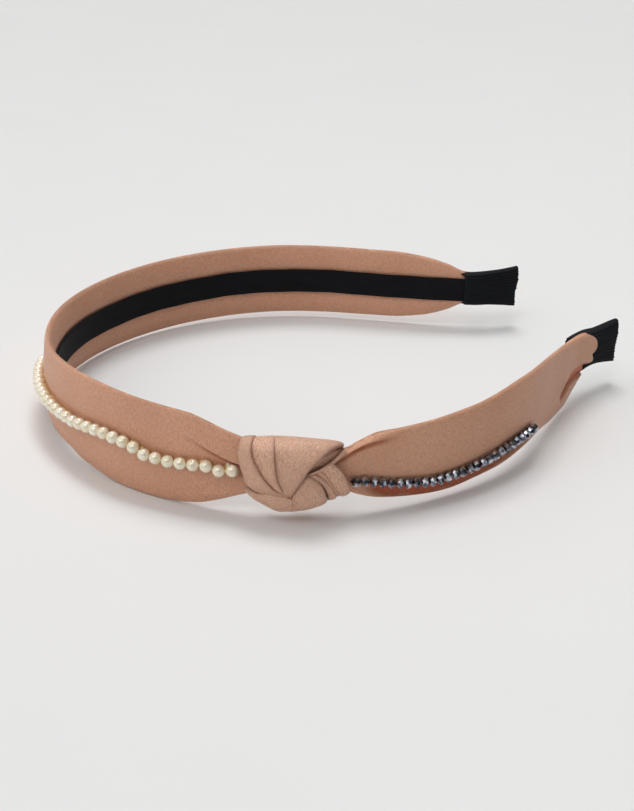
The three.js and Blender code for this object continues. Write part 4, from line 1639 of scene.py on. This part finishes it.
@dataclass
class PearlRow:
    """The row of pearls on its thread, glued to the satin from the knot round the crown."""

    diameter: float = 3.06
    pitch: float = 3.02
    knot_side: int = 19
    plain_side: int = 11
    out: float = 2.95
    line_step: float = 0.5
    wander: float = 0.12
    thread_radius: float = 0.2
    glue_radius: float = 0.75
    glue_rise: float = 0.1
    end_knot_shift: Place = (0.4, -0.5, -0.6)
    end_knot_radius: float = 0.33
    end_knot_yarn: float = 0.13
    end_knot_winds: int = 5

    def height(self, along: Array) -> Array:
        """How the row wanders up and down the band."""
        return smooth(along, [(-35, -0.9), (-12, -0.3), (2, 0.1), (8, 0.2), (13, 0.5), (19, 1.0),
                              (25, 1.4), (31, 0.9), (36.5, -0.6), (43, -0.6), (49.4, 0.0),
                              (52.2, -0.9), (55.7, -0.4), (60, -0.4)])

    def line(self, first: float, last: float, out: float) -> Array:
        """Draws the row's line between two distances along the hoop."""
        along = np.linspace(first, last, int(abs(last - first) / self.line_step) + 2)
        return HOOP.place(along, out, self.height(along))

    def build(self, strings: PathTree, rods: PathTree) -> None:
        """Makes the pearls, the thread, its end knot and the glue.

        Args:
            strings: The tree that strings round pieces.
            rods: The tree that runs rods along paths.
        """
        pearl = PearlCoat().make()
        thread = Plain("pearl_thread_yarn", tone(236, 228, 206), tone(214, 202, 170), 0.6,
                       grain=4.0).make()
        glue = Plain("clear_glue", tone(232, 196, 128), tone(214, 170, 104), 0.25,
                     grain=0.5, through=0.4).make()
        total = self.knot_side + self.plain_side
        sides = (
            ("knot_side", Body.KNOT_ARM, 1, range(1, self.knot_side + 1)),
            ("plain_side", Body.PLAIN_ARM, -1, range(self.knot_side + 1, total + 1)),
        )
        for label, body, side, numbers in sides:
            count = len(numbers)
            first, last = side * self.pitch / 2, side * self.pitch * (count - 0.5)
            lay(strings, "pearls_" + label, [self.line(first, last, self.out)], Slot.PEARL, body,
                [f"pearl_{number:02d}" for number in numbers],
                Count=count, Radius=self.diameter / 2 * MM, Size_Spread=0.03,
                Wander=self.wander * MM, Turn_Spread=math.tau, Seed=3 + side, Material=pearl)
            under = self.out - self.diameter / 2 + self.glue_rise
            lay(strings, "pearl_glue_" + label, [self.line(first, last, under)], Slot.THREAD, body,
                Count=count * 2 - 1, Radius=self.glue_radius * MM, Size_Spread=0.3,
                Wander=self.wander * MM, Seed=9 + side, Material=glue)
        low, high = -self.pitch * self.plain_side, self.pitch * self.knot_side
        lay(rods, "pearl_thread", [self.line(low, high, self.out)], Slot.THREAD, None,
            ["pearl_thread_knot_side", "pearl_thread_plain_side"],
            Radius=self.thread_radius * MM, Step=0.8 * MM, Sides=8, Material=thread)
        self.end_knot(thread)

    def end_knot(self, thread: bpy.types.Material) -> None:
        """Makes the thread's small knot, as a ball wound from it."""
        low, high = box_mm("pearl_thread_end_knot")
        centre = (low + high) / 2 * MM + np.array(self.end_knot_shift) * MM
        turn = np.linspace(0, math.tau * self.end_knot_winds, 140)
        wind = np.stack([
            np.cos(turn) * np.cos(turn * 0.3), np.sin(turn) * np.cos(turn * 0.3 + 0.4),
            np.sin(turn * 0.6 + 1),
        ], axis=-1)
        wind /= np.linalg.norm(wind, axis=1)[:, None]
        line = centre + wind * self.end_knot_radius * MM
        run = np.gradient(line, axis=0)
        run /= np.linalg.norm(run, axis=1)[:, None]
        side = np.cross(run, wind)
        ring = (np.arange(8) / 8 * math.tau)[None, :, None]
        section = np.cos(ring) * wind[:, None] + np.sin(ring) * side[:, None]
        points = line[:, None] + self.end_knot_yarn * MM * section
        cloth = np.zeros(points.shape[:2] + (2,))
        shell = Shell()
        grid = shell.add_grid(points, cloth, loop=True)
        shell.close_row(grid, 0)
        shell.close_row(grid, -1)
        ball = shell.make("thread_end_knot")
        dress_piece(ball, thread)
        settle(ball, Body.KNOT_ARM, "pearl_thread_end_knot")


@dataclass
class BeadStrand:
    """The strand of faceted beads from the knot along the lower part of the knot arm."""

    diameter: float = 2.72
    length_share: float = 0.78
    count: int = 27
    first: float = 82.9
    last: float = 136.9
    out: float = 2.55
    wander: float = 0.07
    thread_radius: float = 0.26
    thread_end: float = 1.2
    line_points: int = 90

    def line(self, first: float, last: float) -> Array:
        """Draws the strand's line between two distances along the hoop."""
        along = np.linspace(first, last, self.line_points)
        return HOOP.place(along, self.out, bead_row(along))

    def build(self, strings: PathTree, rods: PathTree) -> None:
        """Makes the beads and their thread.

        Args:
            strings: The tree that strings round pieces.
            rods: The tree that runs rods along paths.
        """
        lay(strings, "hematite_beads", [self.line(self.first, self.last)], Slot.HEMATITE,
            Body.KNOT_ARM, ["hematite_strand"],
            Count=self.count, Radius=self.diameter / 2 * MM, Length_Share=self.length_share,
            Size_Spread=0.05, Wander=self.wander * MM, Turn_Spread=math.tau, Seed=21,
            Material=Hematite().make())
        dark = Plain("bead_thread_yarn", tone(60, 60, 66), tone(42, 42, 48), 0.6, grain=4.0)
        ends = self.first - self.thread_end, self.last + self.thread_end
        lay(rods, "bead_thread", [self.line(*ends)], Slot.THREAD, Body.KNOT_ARM,
            Radius=self.thread_radius * MM, Step=0.8 * MM, Sides=8, Material=dark.make())


# ---------------------------------------------------------------------------------------------
# Studio
# ---------------------------------------------------------------------------------------------


@dataclass(frozen=True)
class Studio:
    """A pale floor, soft light from above, behind and in front, and the camera."""

    camera_place: Place = (342.57, -118.38, 160.11)
    camera_aim: Place = (-0.79923, 0.44240, -0.40684)
    camera_roll: float = 0.02568
    lens: float = 71.02
    sensor: float = 36.0
    floor_size: float = 6.0
    sky_toward: Place = (-0.45, -0.35, 0.8)
    sky_colour: Colour = (1.0, 0.985, 0.97, 1.0)
    sky_reach: Tuple[float, float] = (-0.4, 0.95)
    sky_strength: Tuple[float, float] = (0.04, 0.53)
    sky_seen: float = 0.8

    def build(self) -> None:
        """Makes the floor, the lights and the camera."""
        scene = bpy.context.scene
        scene.view_settings.view_transform = "Standard"
        self.make_floor()
        self.make_camera(scene)
        scene.world = self.make_sky()
        self.sun("key_from_behind", (-0.5, 0.2, 1.3), 1.14, 24)
        self.sun("fill_from_front", (0.0, -1.0, 0.9), 0.5, 50)
        self.sun("glint", (0.6, -0.6, 1.2), 0.36, 22)
        self.softbox("softbox", (10, 110, 520), 0.26, 110)

    def make_sky(self) -> bpy.types.World:
        """Makes a sky whose light is stronger from one side, but which looks evenly pale."""
        world = bpy.data.worlds.new("soft_room")
        world.use_nodes = True
        nodes, links = world.node_tree.nodes, world.node_tree.links
        toward = nodes.new("ShaderNodeVectorMath")
        toward.operation = "DOT_PRODUCT"
        links.new(nodes.new("ShaderNodeTexCoord").outputs["Generated"], toward.inputs[0])
        toward.inputs[1].default_value = self.sky_toward
        level = nodes.new("ShaderNodeMapRange")
        links.new(toward.outputs["Value"], level.inputs["Value"])
        for name, value in zip(("From Min", "From Max", "To Min", "To Max"),
                               self.sky_reach + self.sky_strength):
            level.inputs[name].default_value = value
        seen = nodes.new("ShaderNodeMix")
        links.new(nodes.new("ShaderNodeLightPath").outputs["Is Camera Ray"], seen.inputs[0])
        links.new(level.outputs[0], seen.inputs[2])
        seen.inputs[3].default_value = self.sky_seen
        back = nodes["Background"]
        back.inputs["Color"].default_value = self.sky_colour
        links.new(seen.outputs[0], back.inputs["Strength"])
        return world

    def sun(self, name: str, toward: Place, strength: float, spread: float) -> None:
        """Adds a large soft light.

        Args:
            name: Its name.
            toward: Direction from the object to the light.
            strength: Its strength.
            spread: Its width in degrees.
        """
        lamp = bpy.data.lights.new(name, "SUN")
        lamp.energy, lamp.angle = strength, math.radians(spread)
        holder = bpy.data.objects.new(name, lamp)
        holder.matrix_world = Vector(toward).to_track_quat("Z", "Y").to_matrix().to_4x4()
        bpy.context.scene.collection.objects.link(holder)

    def softbox(self, name: str, where: Place, power: float, size: float) -> None:
        """Adds a square light near the object, facing down.

        Args:
            name: Its name.
            where: Its place from the crown, in millimetres.
            power: Its power in watts.
            size: Its side in millimetres.
        """
        lamp = bpy.data.lights.new(name, "AREA")
        lamp.energy, lamp.size = power, size * MM
        holder = bpy.data.objects.new(name, lamp)
        holder.location = Vector((np.array(where) + HOOP.origin()) * MM)
        bpy.context.scene.collection.objects.link(holder)

    def make_floor(self) -> None:
        """Makes the pale floor that the band lies on."""
        half = self.floor_size / 2
        mesh = bpy.data.meshes.new("floor")
        mesh.from_pydata([(-half, -half, 0), (half, -half, 0), (half, half, 0),
                          (-half, half, 0)], [], [(0, 1, 2, 3)])
        floor = link("floor", mesh)
        paper = Plain("pale_paper", tone(233, 233, 233), tone(232, 232, 232), 0.95, grain=0.02,
                      relief=0.0)
        floor.data.materials.append(paper.make())

    def make_camera(self, scene: bpy.types.Scene) -> None:
        """Places the camera, in the row frame."""
        data = bpy.data.cameras.new("camera")
        data.lens, data.sensor_width, data.sensor_fit = self.lens, self.sensor, "AUTO"
        data.clip_start, data.clip_end = 0.01, 20
        camera = bpy.data.objects.new("camera", data)
        aim = Vector(self.camera_aim).normalized()
        turn = aim.to_track_quat("-Z", "Y").to_matrix().to_4x4()
        roll = Matrix.Rotation(self.camera_roll, 4, "Z")
        where = Vector((np.array(self.camera_place) + HOOP.origin()) * MM)
        camera.matrix_world = Matrix.Translation(where) @ turn @ roll
        scene.collection.objects.link(camera)
        scene.camera = camera


# ---------------------------------------------------------------------------------------------
# Assembly
# ---------------------------------------------------------------------------------------------


def main() -> None:
    """Builds the headband and its studio."""
    logging.basicConfig(level=logging.INFO, format="%(name)s: %(message)s")
    Studio().build()
    satin = CrepeSatin("crepe_satin").make()
    # The knot's satin is the sleeves' cloth with lighter, paler tones: painted light where the knot
    # catches more light, and a dark painted shade colour for its creases.
    knot_satin = CrepeSatin(
        "crepe_satin_knot_painted_light", light=tone(243, 198, 171), deep=tone(199, 150, 124),
        hollow=tone(110, 58, 38), streak_width=0.25, streak_length=0.8, relief=0.3,
        softness=0.12).make()
    elastic = Elastic().make()
    rods = piping_tree("rods_along_paths")
    round_pearls = string_tree("round_pearls", "MeshUVSphere", True, Segments=24, Rings=14)
    faceted_beads = string_tree("faceted_beads", "MeshUVSphere", False, Segments=8, Rings=5)
    CoreAndLining().build()
    PearlSideSleeve("satin_pearl_side", 70.0, -181.5).build(
        satin, None, ("sleeve_plain_arm", "sleeve_crown_to_knot"))
    KnotArmSleeve("satin_knot_arm", 70.6, 181.5, step=0.7).build(
        satin, Body.KNOT_ARM, ("sleeve_knot_arm",))
    Knot().build(knot_satin)
    TipCap(1, 181.8, "tip_cap_knot_arm", Body.KNOT_ARM, 175.6, end=HOOP.arm_length - 0.1,
           mouth_half=5.4, lift=0.75).build(elastic, rods)
    TipCap(-1, 181.8, "tip_cap_plain_arm", Body.PLAIN_ARM, 181.4).build(elastic, rods)
    PearlRow().build(round_pearls, rods)
    BeadStrand().build(faceted_beads, rods)


if __name__ == "__main__":
    main()
